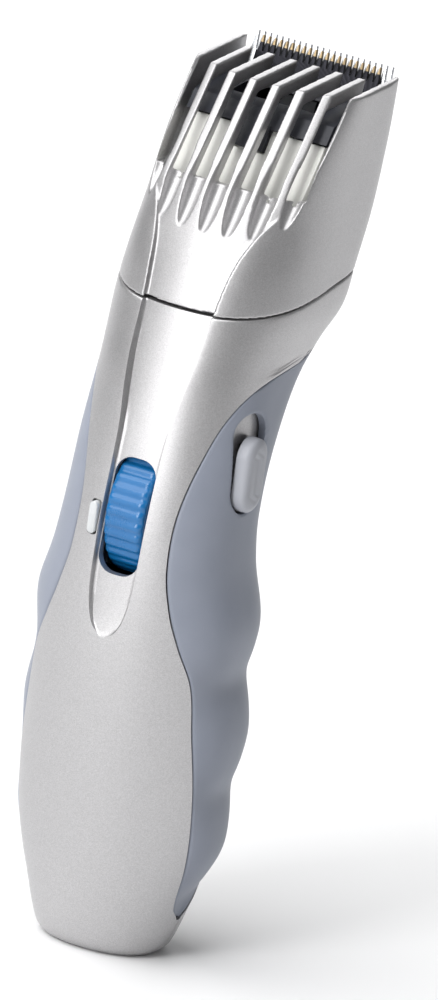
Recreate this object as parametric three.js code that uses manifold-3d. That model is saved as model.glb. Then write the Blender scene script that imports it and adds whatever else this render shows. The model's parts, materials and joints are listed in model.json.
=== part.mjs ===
// Cordless beard and hair trimmer with a height-adjustable comb.
// Millimetres. +Z up the handle, -Y is the dial side, +X is the switch side.
// The origin is the centre of the flat base that the trimmer stands on.

import * as THREE from 'three';
import { mergeVertices } from 'three/addons/utils/BufferGeometryUtils.js';
import Module from 'manifold-3d';

// ---------------------------------------------------------------- driving dimensions

const GAP = 0.3; // left between pieces that touch
const WALL = 1.6; // casing wall
const GRIP = 1.5; // soft grip, outside the casing wall

const CELL_RADIUS = 7.25; // two AA cells, side by side
const CELL_LENGTH = 50.5;
const CELL_BASE = 14; // below the cells: spring and floor
const BULKHEAD = 1.5; // wall between the cells and the drive

const DIAL_RADIUS = 12.6;
const DIAL_WIDTH = 7.8;
const PINION_RADIUS = 5; // pitch radius of the two pinions on the dial axle
const PINION_TEETH = 14;
const AXLE_RADIUS = 1.5;
const RACK_WIDTH = 1.6;
const COMB_TRAVEL = 10;

const MOTOR_WIDTH = 16; // flat-sided can
const MOTOR_DEPTH = 13;
const MOTOR_LENGTH = 25;
const SHAFT_RADIUS = 1;
const THROW = 0.6; // eccentric pin offset
const PIN_RADIUS = 0.9;
const LEVER_LOW = 7; // eccentric pin to lever pivot
const LEVER_HIGH = 17; // lever pivot to blade driver

const HEAD_LEAN = 18.5; // degrees, head and comb travel lean back from the handle
const HEAD_HEIGHT = 40; // from the seam to the top of the comb
const HEAD_HALF_WIDTH = 18.5;
const COMB_WALL = 1.5;
const TINES = 6;
const TINE_PITCH = 4.69;
const TINE_WIDTH = 1.3;
const TINE_DEPTH = 3.3;
const BLADE_THICKNESS = 0.8;

const CHANNEL_DEPTH = 1.1; // groove down the front, from the comb to the dial
const SWITCH_TRAVEL = 3;

// ---------------------------------------------------------------- derived levels

const LEAN = THREE.MathUtils.degToRad(HEAD_LEAN);
const CELL_GAP = 0.35; // half the space between the two cells
const CELL_X = CELL_RADIUS + CELL_GAP;
const GRIP_ROOM = 2.05; // spare width beside the cells
const HANDLE_HALF_WIDTH = CELL_X + CELL_RADIUS + WALL + GRIP + GRIP_ROOM;
const BAY_TOP = CELL_BASE + CELL_LENGTH;
const DIAL_LIFT = 4.4; // dial above the bulkhead
const DIAL_Z = BAY_TOP + BULKHEAD + DIAL_RADIUS + DIAL_LIFT;
const DIAL_FRONT = -16.5;
const DIAL_Y = DIAL_FRONT + DIAL_RADIUS;
const SEAM_ROOM = 1.7; // seam above the top of the leaning motor
const SEAM_Z = DIAL_Z + DIAL_RADIUS + MOTOR_LENGTH * Math.cos(LEAN) + SEAM_ROOM;
const TOP_Z = SEAM_Z + HEAD_HEIGHT;
const SEAM_SLOPE = 0.173;
const SEAM_RISE = 1.3; // seam above its level at y = 0

// The head frame: its origin is on the motor axis at the seam, w runs up the lean,
// v towards the back.
const HEAD_Y = 7.5;
const HEAD_Z = SEAM_Z + 1;
const dialV = (DIAL_Y - HEAD_Y) * Math.cos(LEAN) - (DIAL_Z - HEAD_Z) * Math.sin(LEAN);
const dialW = (DIAL_Y - HEAD_Y) * Math.sin(LEAN) + (DIAL_Z - HEAD_Z) * Math.cos(LEAN);

// The comb's racks run in mesh behind the dial's pinions.
const MODULE = (2 * PINION_RADIUS) / PINION_TEETH;
const rackV = dialV + PINION_RADIUS;
const RACK_BODY = rackV + 0.95 * MODULE + 0.1;
const BAR_BACK = RACK_BODY + 1.86;
const barBackAt = (z) =>
  HEAD_Y + BAR_BACK / Math.cos(LEAN) + (z - HEAD_Z) * Math.tan(LEAN);
// Height of the seam in the head frame.
const seamW = (v) => {
  const [s, c] = [Math.sin(LEAN), Math.cos(LEAN)];
  const rise = SEAM_Z - HEAD_Z + SEAM_RISE + SEAM_SLOPE * HEAD_Y;
  return (rise + v * (s + SEAM_SLOPE * c)) / (c - SEAM_SLOPE * s);
};

// ---------------------------------------------------------------- outline of the whole body

// Cubic through the given [position, value] points.
function through(points) {
  const slope = points.map((point, i) => {
    const before = points[Math.max(i - 1, 0)];
    const after = points[Math.min(i + 1, points.length - 1)];
    return (after[1] - before[1]) / (after[0] - before[0]);
  });
  return (at) => {
    if (at <= points[0][0]) return points[0][1];
    const last = points.length - 1;
    if (at >= points[last][0]) return points[last][1];
    const i = points.findIndex((point) => point[0] > at) - 1;
    const span = points[i + 1][0] - points[i][0];
    const t = (at - points[i][0]) / span;
    const bend = (points[i + 1][1] - points[i][1]) / span;
    const a = slope[i] - bend;
    const b = bend - slope[i + 1];
    return points[i][1] + span * t * (bend + (1 - t) * (a * (1 - t) + b * t));
  };
}

const inBase = (share) => share * CELL_BASE;
const inHandle = (share) => share * BAY_TOP;
const inNeck = (share) => BAY_TOP + share * (SEAM_Z - BAY_TOP);
const inHead = (share) => SEAM_Z + share * HEAD_HEIGHT;
const H = HANDLE_HALF_WIDTH;
const W = HEAD_HALF_WIDTH;
const DIAL_BACK = DIAL_Y + DIAL_RADIUS + WALL + 2.2;
const BAR_ROOM = 5.3; // outside of the casing behind the racks

// Height, half-width, front, widest place, back, squareness of the front and of the back.
const SECTIONS = [
  [0, H - 9, -9, 0, 9, 2.2, 2.2],
  [inBase(0.138), H - 7.4, -10.6, 0, 10.4, 2.2, 2.2],
  [inBase(0.69), H - 4.8, -12.7, 0, 12.4, 2.2, 2.2],
  [CELL_BASE + 6.6, H - 1.4, -14.6, -0.2, 14.5, 2.1, 2.3],
  [inHandle(0.51), H, -16, -0.4, 15.4, 2.1, 2.4],
  [inHandle(0.7), H, -17, -0.6, 15.8, 2.2, 2.4],
  [inHandle(0.88), H - 0.4, -17.5, -0.8, 15.8, 2.3, 2.4],
  [inNeck(0.06), H - 0.9, -17.4, -1, 15.3, 2.45, 2.4],
  [inNeck(0.2), H - 2.2, -17, -1.2, 13.8, 2.55, 2.4],
  [inNeck(0.34), H - 2.9, -16.3, -0.6, DIAL_BACK, 2.6, 2.5],
  [inNeck(0.55), W - 1.6, -14.4, 1, barBackAt(inNeck(0.55)) + BAR_ROOM, 2.6, 2.8],
  [inNeck(0.77), W - 1.7, -11.9, 5, 18.2, 2.6, 3.4],
  [inNeck(0.9), W - 0.9, -9.6, 8.5, 22.8, 2.6, 4.2],
  [SEAM_Z, W, -7.7, 12.5, 26.4, 2.6, 6],
  [inHead(0.18), W - 0.3, -5.4, 15, 29.2, 2.7, 7],
  [inHead(0.4), W - 0.8, -1.2, 18, 33, 2.9, 8],
  [inHead(0.62), W - 1.2, 2.6, 21, 35.4, 3.2, 8],
  [inHead(0.8), W - 1.4, 8, 23, 36.6, 3.6, 8],
  [inHead(1), W - 1.6, 15.5, 26, 37, 4, 8],
];
const column = (index) => through(SECTIONS.map((row) => [row[0], row[index]]));
const [halfWidth, front, middle, back, frontPower, backPower] = [1, 2, 3, 4, 5, 6].map(column);

// A point of the outline at height z and turn a (0 at +X, a quarter turn at the back),
// moved out by the given amount square to the outline.
function outline(z, a, out = 0) {
  const at = (turn) => {
    const c = Math.cos(turn);
    const s = Math.sin(turn);
    const power = s > 0 ? backPower(z) : frontPower(z);
    const reach = s > 0 ? back(z) - middle(z) : middle(z) - front(z);
    return [
      halfWidth(z) * Math.sign(c) * Math.abs(c) ** (2 / power),
      middle(z) + reach * Math.sign(s) * Math.abs(s) ** (2 / power),
    ];
  };
  const [x, y] = at(a);
  if (out === 0) return [x, y];
  const [x0, y0] = at(a - 0.02);
  const [x1, y1] = at(a + 0.02);
  const length = Math.hypot(x1 - x0, y1 - y0);
  return [x + (out * (y1 - y0)) / length, y - (out * (x1 - x0)) / length];
}

const steps = (from, to, count) =>
  Array.from({ length: count + 1 }, (_, i) => from + ((to - from) * i) / count);
const quarter = Math.PI / 2;

// ---------------------------------------------------------------- solids and booleans

const wasm = await Module();
wasm.setup();

function solid(geometry) {
  const bare = geometry.index ? geometry.clone() : mergeVertices(geometry);
  bare.deleteAttribute('normal');
  bare.deleteAttribute('uv');
  const merged = mergeVertices(bare, 1e-4);
  return new wasm.Manifold(
    new wasm.Mesh({
      numProp: 3,
      vertProperties: new Float32Array(merged.attributes.position.array),
      triVerts: new Uint32Array(merged.index.array),
    }),
  );
}

function geometryOf(body) {
  const mesh = body.getMesh();
  const geometry = new THREE.BufferGeometry();
  geometry.setAttribute('position', new THREE.BufferAttribute(mesh.vertProperties, 3));
  geometry.setIndex(new THREE.BufferAttribute(mesh.triVerts, 1));
  return geometry;
}

const cut = (body, ...tools) => tools.reduce((left, tool) => left.subtract(tool), body);
const join = (body, ...others) => others.reduce((sum, other) => sum.add(other), body);

function meshOf(points, faces) {
  const geometry = new THREE.BufferGeometry();
  geometry.setAttribute('position', new THREE.Float32BufferAttribute(points.flat(), 3));
  geometry.setIndex(faces);
  return geometry;
}

// Triangles of the wall between rings that all have the same number of points.
function wallFaces(rings) {
  const count = rings[0].length;
  const faces = [];
  for (let k = 0; k + 1 < rings.length; k += 1) {
    for (let i = 0; i < count; i += 1) {
      const j = (i + 1) % count;
      const [a, b, c, d] = [k * count + i, k * count + j, (k + 1) * count + j, (k + 1) * count + i];
      faces.push(a, b, c, a, c, d);
    }
  }
  return faces;
}

// A stack of rings, each turning from +X to +Y, from the lowest up, closed by a fan at each end.
function loft(rings) {
  const count = rings[0].length;
  const points = rings.flat();
  const faces = wallFaces(rings);
  const centre = (ring) => [0, 1, 2].map((n) => ring.reduce((sum, p) => sum + p[n], 0) / count);
  const low = points.push(centre(rings[0])) - 1;
  const high = points.push(centre(rings.at(-1))) - 1;
  const top = (rings.length - 1) * count;
  for (let i = 0; i < count; i += 1) {
    const j = (i + 1) % count;
    faces.push(low, j, i, high, top + i, top + j);
  }
  return meshOf(points, faces);
}

// A full ring of the outline at each height, moved out by the given amount.
function core(heights, out, around = 36) {
  const turns = steps(0, 4 * quarter, around).slice(0, -1);
  return solid(loft(heights.map((z) => turns.map((a) => [...outline(z, a, out), z]))));
}

// A curved plate following the outline between two turns that vary with height.
function plate(heights, from, to, inner, outer, around) {
  const rings = heights.map((z) => {
    const turns = steps(from(z), to(z), around);
    const outside = turns.map((a) => [...outline(z, a, outer(z, a)), z]);
    const inside = turns.map((a) => [...outline(z, a, inner(z, a)), z]).reverse();
    return [...outside, ...inside];
  });
  const count = rings[0].length;
  const faces = wallFaces(rings);
  const top = (rings.length - 1) * count;
  for (let i = 0; i < around; i += 1) {
    const m = count - 1 - i;
    faces.push(i, m, m - 1, i, m - 1, i + 1);
    faces.push(top + i, top + m - 1, top + m, top + i, top + i + 1, top + m - 1);
  }
  return solid(meshOf(rings.flat(), faces));
}

function block(x0, x1, y0, y1, z0, z1) {
  const geometry = new THREE.BoxGeometry(x1 - x0, y1 - y0, z1 - z0);
  return solid(geometry.translate((x0 + x1) / 2, (y0 + y1) / 2, (z0 + z1) / 2));
}

// A prism between two X positions, from [y, z] points.
function prism(points, x0, x1) {
  const shape = new THREE.Shape(points.map(([y, z]) => new THREE.Vector2(y, z)));
  const geometry = new THREE.ExtrudeGeometry(shape, { depth: x1 - x0, bevelEnabled: false });
  const toYZ = new THREE.Matrix4().set(0, 0, 1, x0, 1, 0, 0, 0, 0, 1, 0, 0, 0, 0, 0, 1);
  return solid(geometry.applyMatrix4(toYZ));
}

// A round bar along X, Y or Z.
function bar(axis, radius, from, to, at = [0, 0], sides = 20) {
  const geometry = new THREE.CylinderGeometry(radius, radius, to - from, sides);
  geometry.translate(0, (from + to) / 2, 0);
  if (axis === 'x') geometry.rotateZ(-quarter).translate(0, at[0], at[1]);
  if (axis === 'y') geometry.translate(at[0], 0, at[1]);
  if (axis === 'z') geometry.rotateX(quarter).translate(at[0], at[1], 0);
  return solid(geometry);
}

// An upright oval with round ends, extruded along X.
function oval(halfDepth, halfHeight, y, z, x0, x1) {
  const straight = halfHeight - halfDepth;
  const shape = new THREE.Shape();
  shape.absarc(y, z + straight, halfDepth, 0, 2 * quarter, false);
  shape.absarc(y, z - straight, halfDepth, 2 * quarter, 4 * quarter, false);
  const points = shape.getPoints(10).map((point) => [point.x, point.y]);
  return prism(points.slice(0, -1), x0, x1);
}

const headToWorld = new THREE.Matrix4()
  .makeTranslation(0, HEAD_Y, HEAD_Z)
  .multiply(new THREE.Matrix4().makeRotationX(-LEAN));
const inWorld = (body) => solid(geometryOf(body).applyMatrix4(headToWorld));
const inLean = (body) => solid(geometryOf(body).applyMatrix4(headToWorld.clone().invert()));

// ---------------------------------------------------------------- scene graph

const trimmer = new THREE.Group();
const head = new THREE.Group();
head.position.set(0, HEAD_Y, HEAD_Z);
head.rotation.x = -LEAN;
trimmer.add(head);

const finishes = {
  silver: { color: 0xc8c8ca, roughness: 0.35, metalness: 0.6 },
  grip: { color: 0x9ba0aa, roughness: 0.7, metalness: 0 },
  button: { color: 0xa5a7af, roughness: 0.5, metalness: 0 },
  dial: { color: 0x2d82c3, roughness: 0.35, metalness: 0 },
  black: { color: 0x2d2f37, roughness: 0.5, metalness: 0 },
  white: { color: 0xebebe6, roughness: 0.5, metalness: 0 },
  steel: { color: 0xb4b6b8, roughness: 0.3, metalness: 1 },
  brass: { color: 0xc8a050, roughness: 0.35, metalness: 1 },
  clear: { color: 0xdfe4e8, roughness: 0.1, metalness: 0 },
  cell: { color: 0x3a6b4a, roughness: 0.4, metalness: 0.3 },
};

function add(parent, name, finish, body) {
  const mesh = new THREE.Mesh(geometryOf(body), new THREE.MeshStandardMaterial(finishes[finish]));
  mesh.name = name;
  parent.add(mesh);
}

// ---------------------------------------------------------------- casing, grips and cover

const seamAt = (y) => SEAM_Z + SEAM_RISE + SEAM_SLOPE * y;
const HEIGHTS = [0, 0.03, 0.08, 0.15, 0.26, 0.4, 0.56, 0.72, 0.88].map(inHandle)
  .concat([0.04, 0.2, 0.34, 0.5, 0.64, 0.77, 0.87, 1].map(inNeck))
  .concat([0.1, 0.2].map(inHead));
const FLOOR = 1.8;

// Half-width of the front groove: it closes in a round scoop below the dial.
const SCOOP_Z = DIAL_Z - 22;
const grooveHalfWidth = through([
  [SCOOP_Z, 0.4], [SCOOP_Z + 1.2, 2], [SCOOP_Z + 4, 3.4], [DIAL_Z - 11, 4.3], [DIAL_Z + 11, 4.6],
  [inNeck(0.63), 4.9], [inNeck(0.74), 5.8], [inNeck(0.86), 6.6], [SEAM_Z, 7.1],
  [inHead(0.17), 7.9], [inHead(0.28), 8.9], [inHead(0.4), 11], [inHead(0.5), 14],
  [inHead(0.62), 15.6], [TOP_Z, 15.8],
]);
// The groove floor falls away to both sides.
const grooveCurve = through([[DIAL_Z, 0.008], [SEAM_Z, 0.013], [inHead(0.5), 0.0152]]);
const grooveFloor = through([
  [SCOOP_Z, front(SCOOP_Z) + 0.1], [SCOOP_Z + 5, front(SCOOP_Z + 5) + 0.8],
  [DIAL_Z, front(DIAL_Z) + 1.5], [inNeck(0.55), front(inNeck(0.55)) + 1.4],
  [SEAM_Z, front(SEAM_Z) + CHANNEL_DEPTH], [inHead(0.2), front(inHead(0.2)) + 1],
  [inHead(0.4), -0.7], [inHead(0.53), 1.9], [inHead(0.75), 8.3], [TOP_Z, 15.5],
]);

function groove(heights, deeper = 0) {
  return solid(loft(heights.map((z) => {
    const w = grooveHalfWidth(z);
    const floor = steps(w, -w, 8).map((x) => [x, grooveFloor(z) + grooveCurve(z) * x * x + deeper, z]);
    return [[-w, -40, z], [w, -40, z], ...floor];
  })));
}
const grooveHeights = [SCOOP_Z, SCOOP_Z + 1.2, SCOOP_Z + 4, DIAL_Z - 11, DIAL_Z, DIAL_Z + 11]
  .concat([0.63, 0.74, 0.86, 1].map(inNeck), [0.1, 0.17, 0.28, 0.4, 0.5, 0.62, 0.8, 1.1].map(inHead));

// Soft grips: front and rear edges as turns from the side, over the height.
const GRIP_LOW = inHandle(0.12);
const GRIP_HIGH = inNeck(0.86);
const gripFront = through([
  [GRIP_LOW, -0.02], [inHandle(0.16), -0.22], [inHandle(0.28), -0.34], [inHandle(0.41), -0.42],
  [inHandle(0.56), -0.5], [inHandle(0.7), -0.58], [inHandle(0.85), -0.66], [inHandle(0.96), -0.86],
  [inNeck(0.06), -1], [inNeck(0.2), -1.08], [inNeck(0.4), -1.05], [inNeck(0.6), -0.85],
  [inNeck(0.72), -0.62], [inNeck(0.8), -0.28], [GRIP_HIGH, 0.3],
]);
const gripRear = through([
  [GRIP_LOW, 0.06], [inHandle(0.2), 0.5], [inHandle(0.5), 0.78], [inHandle(0.8), 0.9],
  [inNeck(0.2), 0.95], [inNeck(0.5), 0.85], [inNeck(0.75), 0.6], [GRIP_HIGH, 0.36],
]);
const GRIP_HEIGHTS = [0.12, 0.16, 0.22, 0.28, 0.34, 0.4, 0.46, 0.52, 0.6, 0.68, 0.75, 0.82, 0.9, 0.97]
  .map(inHandle).concat([0.06, 0.14, 0.26, 0.4, 0.54, 0.66, 0.75, 0.81, 0.86].map(inNeck));
// Finger waves stand out in the middle of the grip and fade to its edges.
const WAVES = [0.34, 0.68, 1.0].map(inHandle);
const WAVE_HEIGHT = 0.9;
const WAVE_LENGTH = 0.1 * BAY_TOP;
function wave(z, a) {
  const middleTurn = (gripFront(z) + gripRear(z)) / 2;
  const span = (gripRear(z) - gripFront(z)) / 2;
  const fade = Math.max(0, 1 - ((a - middleTurn) / span) ** 2);
  const rise = WAVES.reduce((sum, at) => sum + Math.exp(-(((z - at) / WAVE_LENGTH) ** 2) * 1.6), 0);
  return WAVE_HEIGHT * rise * fade;
}
const rightGrip = plate(GRIP_HEIGHTS, gripFront, gripRear, () => -GRIP, wave, 8);
const pocketHeights = GRIP_HEIGHTS.slice();
pocketHeights[0] -= GAP;
pocketHeights[pocketHeights.length - 1] += GAP;
const margin = GAP / HANDLE_HALF_WIDTH;
const rightPocket = plate(
  pocketHeights, (z) => gripFront(z) - 2.2 * margin, (z) => gripRear(z) + 2.2 * margin,
  () => -GRIP - GAP, () => 4, 8,
);
const mirrored = (body) => body.mirror([1, 0, 0]);

// Power switch in an oval recess of the right grip.
const SWITCH_Z = inNeck(0.51);
const SWITCH_Y = -2.6;
const BUTTON_HALF = [3.7, 7];
const sideX = halfWidth(SWITCH_Z);
const recess = oval(
  BUTTON_HALF[0] + 0.7, BUTTON_HALF[1] + 0.5 + SWITCH_TRAVEL / 2 + 0.4, SWITCH_Y,
  SWITCH_Z + SWITCH_TRAVEL / 2 + 0.4, sideX - GRIP - 3, sideX + 6,
);
const stemSlot = block(
  sideX - 9, sideX + 4, SWITCH_Y - 1.4, SWITCH_Y + 1.4, SWITCH_Z - 2.4, SWITCH_Z + 2.4 + SWITCH_TRAVEL,
);

const buttonWay = oval(
  BUTTON_HALF[0] + GAP, BUTTON_HALF[1] + GAP + SWITCH_TRAVEL / 2, SWITCH_Y, SWITCH_Z + SWITCH_TRAVEL / 2,
  sideX - GRIP + 0.2 - GAP, sideX + 20,
);

// Battery cover, in an opening of the rear shell.
const COVER_HALF_WIDTH = 9.5;
const COVER_LOW = inHandle(0.14);
const COVER_HIGH = inHandle(0.98);
const coverBlank = (grow) => block(
  -COVER_HALF_WIDTH - grow, COVER_HALF_WIDTH + grow, 2, 40, COVER_LOW - grow, COVER_HIGH + grow,
);

const hollowHeights = HEIGHTS.slice(1).map((z, i) => (i === 0 ? FLOOR : z)).concat([inHead(0.3)]);
const skin = core(HEIGHTS, 0);
const hollow = core(hollowHeights, -WALL);
// Under the grips the casing steps in, so its inner face does too.
const rightBacking = plate(
  pocketHeights, (z) => gripFront(z) - 0.1, (z) => gripRear(z) + 0.1,
  () => -GRIP - GAP - WALL, () => -WALL + 0.4, 8,
).intersect(skin);
// Half-spaces are cut with prisms that reach past the body on every side.
const [FAR_FRONT, FAR_BACK, FAR_TOP, FAR_SIDE] = [-60, 80, 300, 40];
const seamPlane = prism([
  [FAR_FRONT, seamAt(FAR_FRONT) - GAP / 2], [FAR_BACK, seamAt(FAR_BACK) - GAP / 2],
  [FAR_BACK, FAR_TOP], [FAR_FRONT, FAR_TOP],
], -FAR_SIDE, FAR_SIDE);
const SPLIT_Y = 0.6;
const COLLAR_Z = inNeck(0.87);
const COLLAR_Y = 13;
const rearOf = (gap) => prism([
  [SPLIT_Y + gap, -5], [FAR_BACK, -5], [FAR_BACK, COLLAR_Z - gap],
  [COLLAR_Y + gap, COLLAR_Z - gap], [SPLIT_Y + gap, inNeck(0.56) - gap],
], -FAR_SIDE, FAR_SIDE);
const dialWindow = block(
  -DIAL_WIDTH / 2 - 0.5, DIAL_WIDTH / 2 + 0.5, DIAL_FRONT - 6, DIAL_Y - 3, DIAL_Z - 11.2, DIAL_Z + 11.4,
);
const LENS_X = -DIAL_WIDTH / 2 - 1.5;
const LENS_Z = DIAL_Z - 1;
const LENS_HALF = [1.5, 3]; // half depth and half height
const lensBlank = (grow) => oval(
  LENS_HALF[0] + grow, LENS_HALF[1] + grow, grooveFloor(LENS_Z) - 0.5, LENS_Z,
  LENS_X - 1.3 - grow, LENS_X + 0.4 + grow,
);

const CELL_Y = -0.6;
const cellWays = [-CELL_X, CELL_X].map((x) =>
  bar('z', CELL_RADIUS + GAP, CELL_BASE - 6, BAY_TOP + 4, [x, CELL_Y], 28));
const casing = cut(
  join(cut(skin, hollow), rightBacking, mirrored(rightBacking), groove(grooveHeights, WALL).intersect(skin)),
  ...cellWays, rightPocket, mirrored(rightPocket),
  seamPlane, stemSlot, buttonWay, dialWindow, coverBlank(GAP), lensBlank(GAP),
);
const frontShell = cut(casing, rearOf(0), groove(grooveHeights));
const rearShell = casing.intersect(rearOf(GAP));
add(trimmer, 'front_shell', 'silver', frontShell);
add(trimmer, 'rear_shell', 'silver', rearShell);
add(trimmer, 'grip_right', 'grip', cut(rightGrip, recess));
add(trimmer, 'grip_left', 'grip', mirrored(rightGrip));
add(trimmer, 'battery_cover', 'silver', cut(skin, hollow).intersect(coverBlank(0)));

// ---------------------------------------------------------------- cells and contacts

for (const [side, x] of [['left', -CELL_X], ['right', CELL_X]]) {
  const up = side === 'right' ? 1 : -1;
  const [nub, can] = up > 0
    ? [[CELL_BASE + CELL_LENGTH - 1.2, CELL_BASE + CELL_LENGTH], [CELL_BASE, CELL_BASE + CELL_LENGTH - 1]]
    : [[CELL_BASE, CELL_BASE + 1.2], [CELL_BASE + 1, CELL_BASE + CELL_LENGTH]];
  const cell = join(bar('z', CELL_RADIUS, ...can, [x, CELL_Y], 28), bar('z', 2.7, ...nub, [x, CELL_Y], 16));
  add(trimmer, `cell_${side}`, 'cell', cell);
}

// The lower contact of each cell: a cone spring drawn as its envelope, and a raised pad.
const springProfile = [[0, 0], [4.2, 0], [2.4, 3.4], [0, 3.4]].map(([r, z]) => new THREE.Vector2(r, z));
const cone = solid(new THREE.LatheGeometry(springProfile, 16).rotateX(quarter));
const PLATE_Z = CELL_BASE - 4.5;
add(trimmer, 'contact_spring', 'steel', cone.translate([CELL_X, CELL_Y, CELL_BASE - GAP - 3.4]));
add(trimmer, 'contact_pad', 'steel', bar('z', 3, PLATE_Z + 0.8, CELL_BASE - GAP, [-CELL_X, CELL_Y], 16));
const plateHalf = (dx, z0, z1) => block(dx - 3.3, dx + 3.3, CELL_Y - 3.6, CELL_Y + 3.6, z0, z1);
const tray = block(-10.4, 10.4, CELL_Y - 4.4, CELL_Y + 4.4, PLATE_Z - 2.2, PLATE_Z - GAP);
add(trimmer, 'contact_tray', 'black', tray);
for (const [side, x] of [['left', -CELL_X], ['right', CELL_X]]) {
  add(trimmer, `lower_plate_${side}`, 'steel', plateHalf(x * 0.98, PLATE_Z, PLATE_Z + 0.5));
}
const linkZ = BAY_TOP + GAP;
add(trimmer, 'upper_link', 'steel', block(-11, 11, CELL_Y - 3, CELL_Y + 3, linkZ, linkZ + 0.5));
const bulkheadZ = linkZ + 0.8;
const bulkhead = core([bulkheadZ, bulkheadZ + BULKHEAD], -GRIP - WALL - 0.9, 28);
const bulkheadBack = back(bulkheadZ) - WALL - 2.5;
const beforeBack = block(-FAR_SIDE, FAR_SIDE, FAR_FRONT, bulkheadBack, 0, FAR_TOP);
add(trimmer, 'bay_bulkhead', 'black', bulkhead.intersect(beforeBack));

// ---------------------------------------------------------------- comb dial

const dialParts = new THREE.Group();
dialParts.position.set(0, DIAL_Y, DIAL_Z);
trimmer.add(dialParts);

// A toothed wheel about X: outline radii alternate over the given number of teeth.
function toothed(teeth, low, high, share, x0, x1) {
  const points = [];
  const tip = share * 0.62;
  const corners = [[low, share - 1], [low, -share], [high, -tip], [high, tip]];
  for (let k = 0; k < teeth; k += 1) {
    for (const [r, at] of corners) {
      const turn = ((k + at) * 4 * quarter) / teeth - LEAN;
      points.push([r * Math.cos(turn), r * Math.sin(turn)]);
    }
  }
  return prism(points, x0, x1);
}
const HALF_DIAL = DIAL_WIDTH / 2;
const rim = [[0, -HALF_DIAL], [DIAL_RADIUS - 1.2, -HALF_DIAL], [DIAL_RADIUS, -HALF_DIAL + 1],
  [DIAL_RADIUS, HALF_DIAL - 1], [DIAL_RADIUS - 1.2, HALF_DIAL], [0, HALF_DIAL]]
  .map(([r, x]) => new THREE.Vector2(r, x));
const wheel = solid(new THREE.LatheGeometry(rim, 36).rotateZ(-quarter));
const bore = AXLE_RADIUS + GAP;
add(dialParts, 'comb_dial', 'dial', cut(wheel, bar('x', bore, -9, 9)));
const RACK_X = MOTOR_WIDTH / 2 + 0.8;
const RACK_OUT = RACK_X + RACK_WIDTH;
add(dialParts, 'dial_axle', 'steel', bar('x', AXLE_RADIUS, -RACK_OUT - 0.6, RACK_OUT + 0.6, [0, 0], 16));
const TOOTH_SHARE = 0.24;
const ROOT_RADIUS = PINION_RADIUS - 0.95 * MODULE;
const TIP_RADIUS = PINION_RADIUS + 0.6 * MODULE;
for (const [side, x] of [['left', -RACK_OUT], ['right', RACK_X]]) {
  const gear = toothed(PINION_TEETH, ROOT_RADIUS, TIP_RADIUS, TOOTH_SHARE, x, x + RACK_WIDTH);
  add(dialParts, `pinion_${side}`, 'white', cut(gear, bar('x', bore, x - 1, x + RACK_WIDTH + 1)));
}
const clickY = front(DIAL_Z - 16) + WALL + 6;
const clickZ = bulkheadZ + BULKHEAD + GAP;
add(trimmer, 'detent_spring', 'steel', block(-1.5, 1.5, clickY, clickY + 7, clickZ, clickZ + 0.5));
add(trimmer, 'indicator_lens', 'clear', lensBlank(0));

// ---------------------------------------------------------------- comb carrier (head frame)

const TAB = { v0: RACK_BODY - 2.74, v1: RACK_BODY + 1.26, w0: -0.9, w1: 1.8, x: 15.5 };
const rackFoot = dialW - COMB_TRAVEL - 2.2;
const pitch = Math.PI * MODULE;
function carrierSide(x0, x1, tabFrom, tabTo) {
  let side = block(x0, x1, RACK_BODY, BAR_BACK, rackFoot, TAB.w1);
  side = join(side, block(tabFrom, tabTo, TAB.v0, TAB.v1 + 0.2, TAB.w0, TAB.w1));
  const first = Math.ceil((rackFoot - dialW) / pitch);
  for (let k = first; dialW + (k + 0.5) * pitch < dialW + 3.4; k += 1) {
    const middleW = dialW + (k + 0.5) * pitch;
    const [root, tip] = [pitch * 0.3, pitch * 0.13];
    side = join(side, prism([
      [RACK_BODY + 0.2, middleW - root], [RACK_BODY + 0.2, middleW + root],
      [rackV - 0.55 * MODULE, middleW + tip], [rackV - 0.55 * MODULE, middleW - tip],
    ], x0, x1));
  }
  return side;
}
const motorBack = MOTOR_DEPTH / 2 + 0.8;
const bridge = block(-RACK_OUT, RACK_OUT, motorBack, BAR_BACK, -24, -20);
const rightRack = carrierSide(RACK_X, RACK_OUT, RACK_X, TAB.x);
const leftRack = carrierSide(-RACK_OUT, -RACK_X, -TAB.x, -RACK_X);
add(head, 'comb_carrier', 'white', join(bridge, rightRack, leftRack));

// ---------------------------------------------------------------- motor and drive (head frame)

const MOTOR_TOP = -1.5;
const MOTOR_LOW = MOTOR_TOP - MOTOR_LENGTH;
const canBlank = bar('z', MOTOR_WIDTH / 2, MOTOR_LOW + 3, MOTOR_TOP, [0, 0], 32);
const flats = block(-20, 20, -MOTOR_DEPTH / 2, MOTOR_DEPTH / 2, MOTOR_LOW - 1, MOTOR_TOP + 1);
const shaftHole = bar('z', SHAFT_RADIUS + GAP, MOTOR_TOP - 6, MOTOR_TOP + 1, [0, 0], 12);
add(head, 'motor_can', 'steel', cut(canBlank.intersect(flats), shaftHole));
const capBlank = bar('z', MOTOR_WIDTH / 2 - 0.6, MOTOR_LOW, MOTOR_LOW + 3 - GAP, [0, 0], 28);
add(head, 'motor_cap', 'white', capBlank.intersect(flats));
const PLATE_W = MOTOR_TOP + GAP;
const PLATE_THICK = 1.6;
const frameFront = -9.2;
const mount = cut(
  block(0.4 - RACK_X, RACK_X - 0.4, frameFront, 13.5, PLATE_W, PLATE_W + PLATE_THICK),
  bar('z', 3, PLATE_W - 1, PLATE_W + 4, [0, 0], 20),
);
add(head, 'motor_mount', 'black', mount);
const EYE = PLATE_W + PLATE_THICK + 0.9;
add(head, 'motor_shaft', 'steel', bar('z', SHAFT_RADIUS, MOTOR_TOP - 5, EYE + 1.2, [0, 0], 12));
const FIT = 0.05; // round a shaft that is pressed in
const hubBore = bar('z', SHAFT_RADIUS + FIT, EYE - 1, EYE + 1.2 + FIT, [0, 0], 12);
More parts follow.
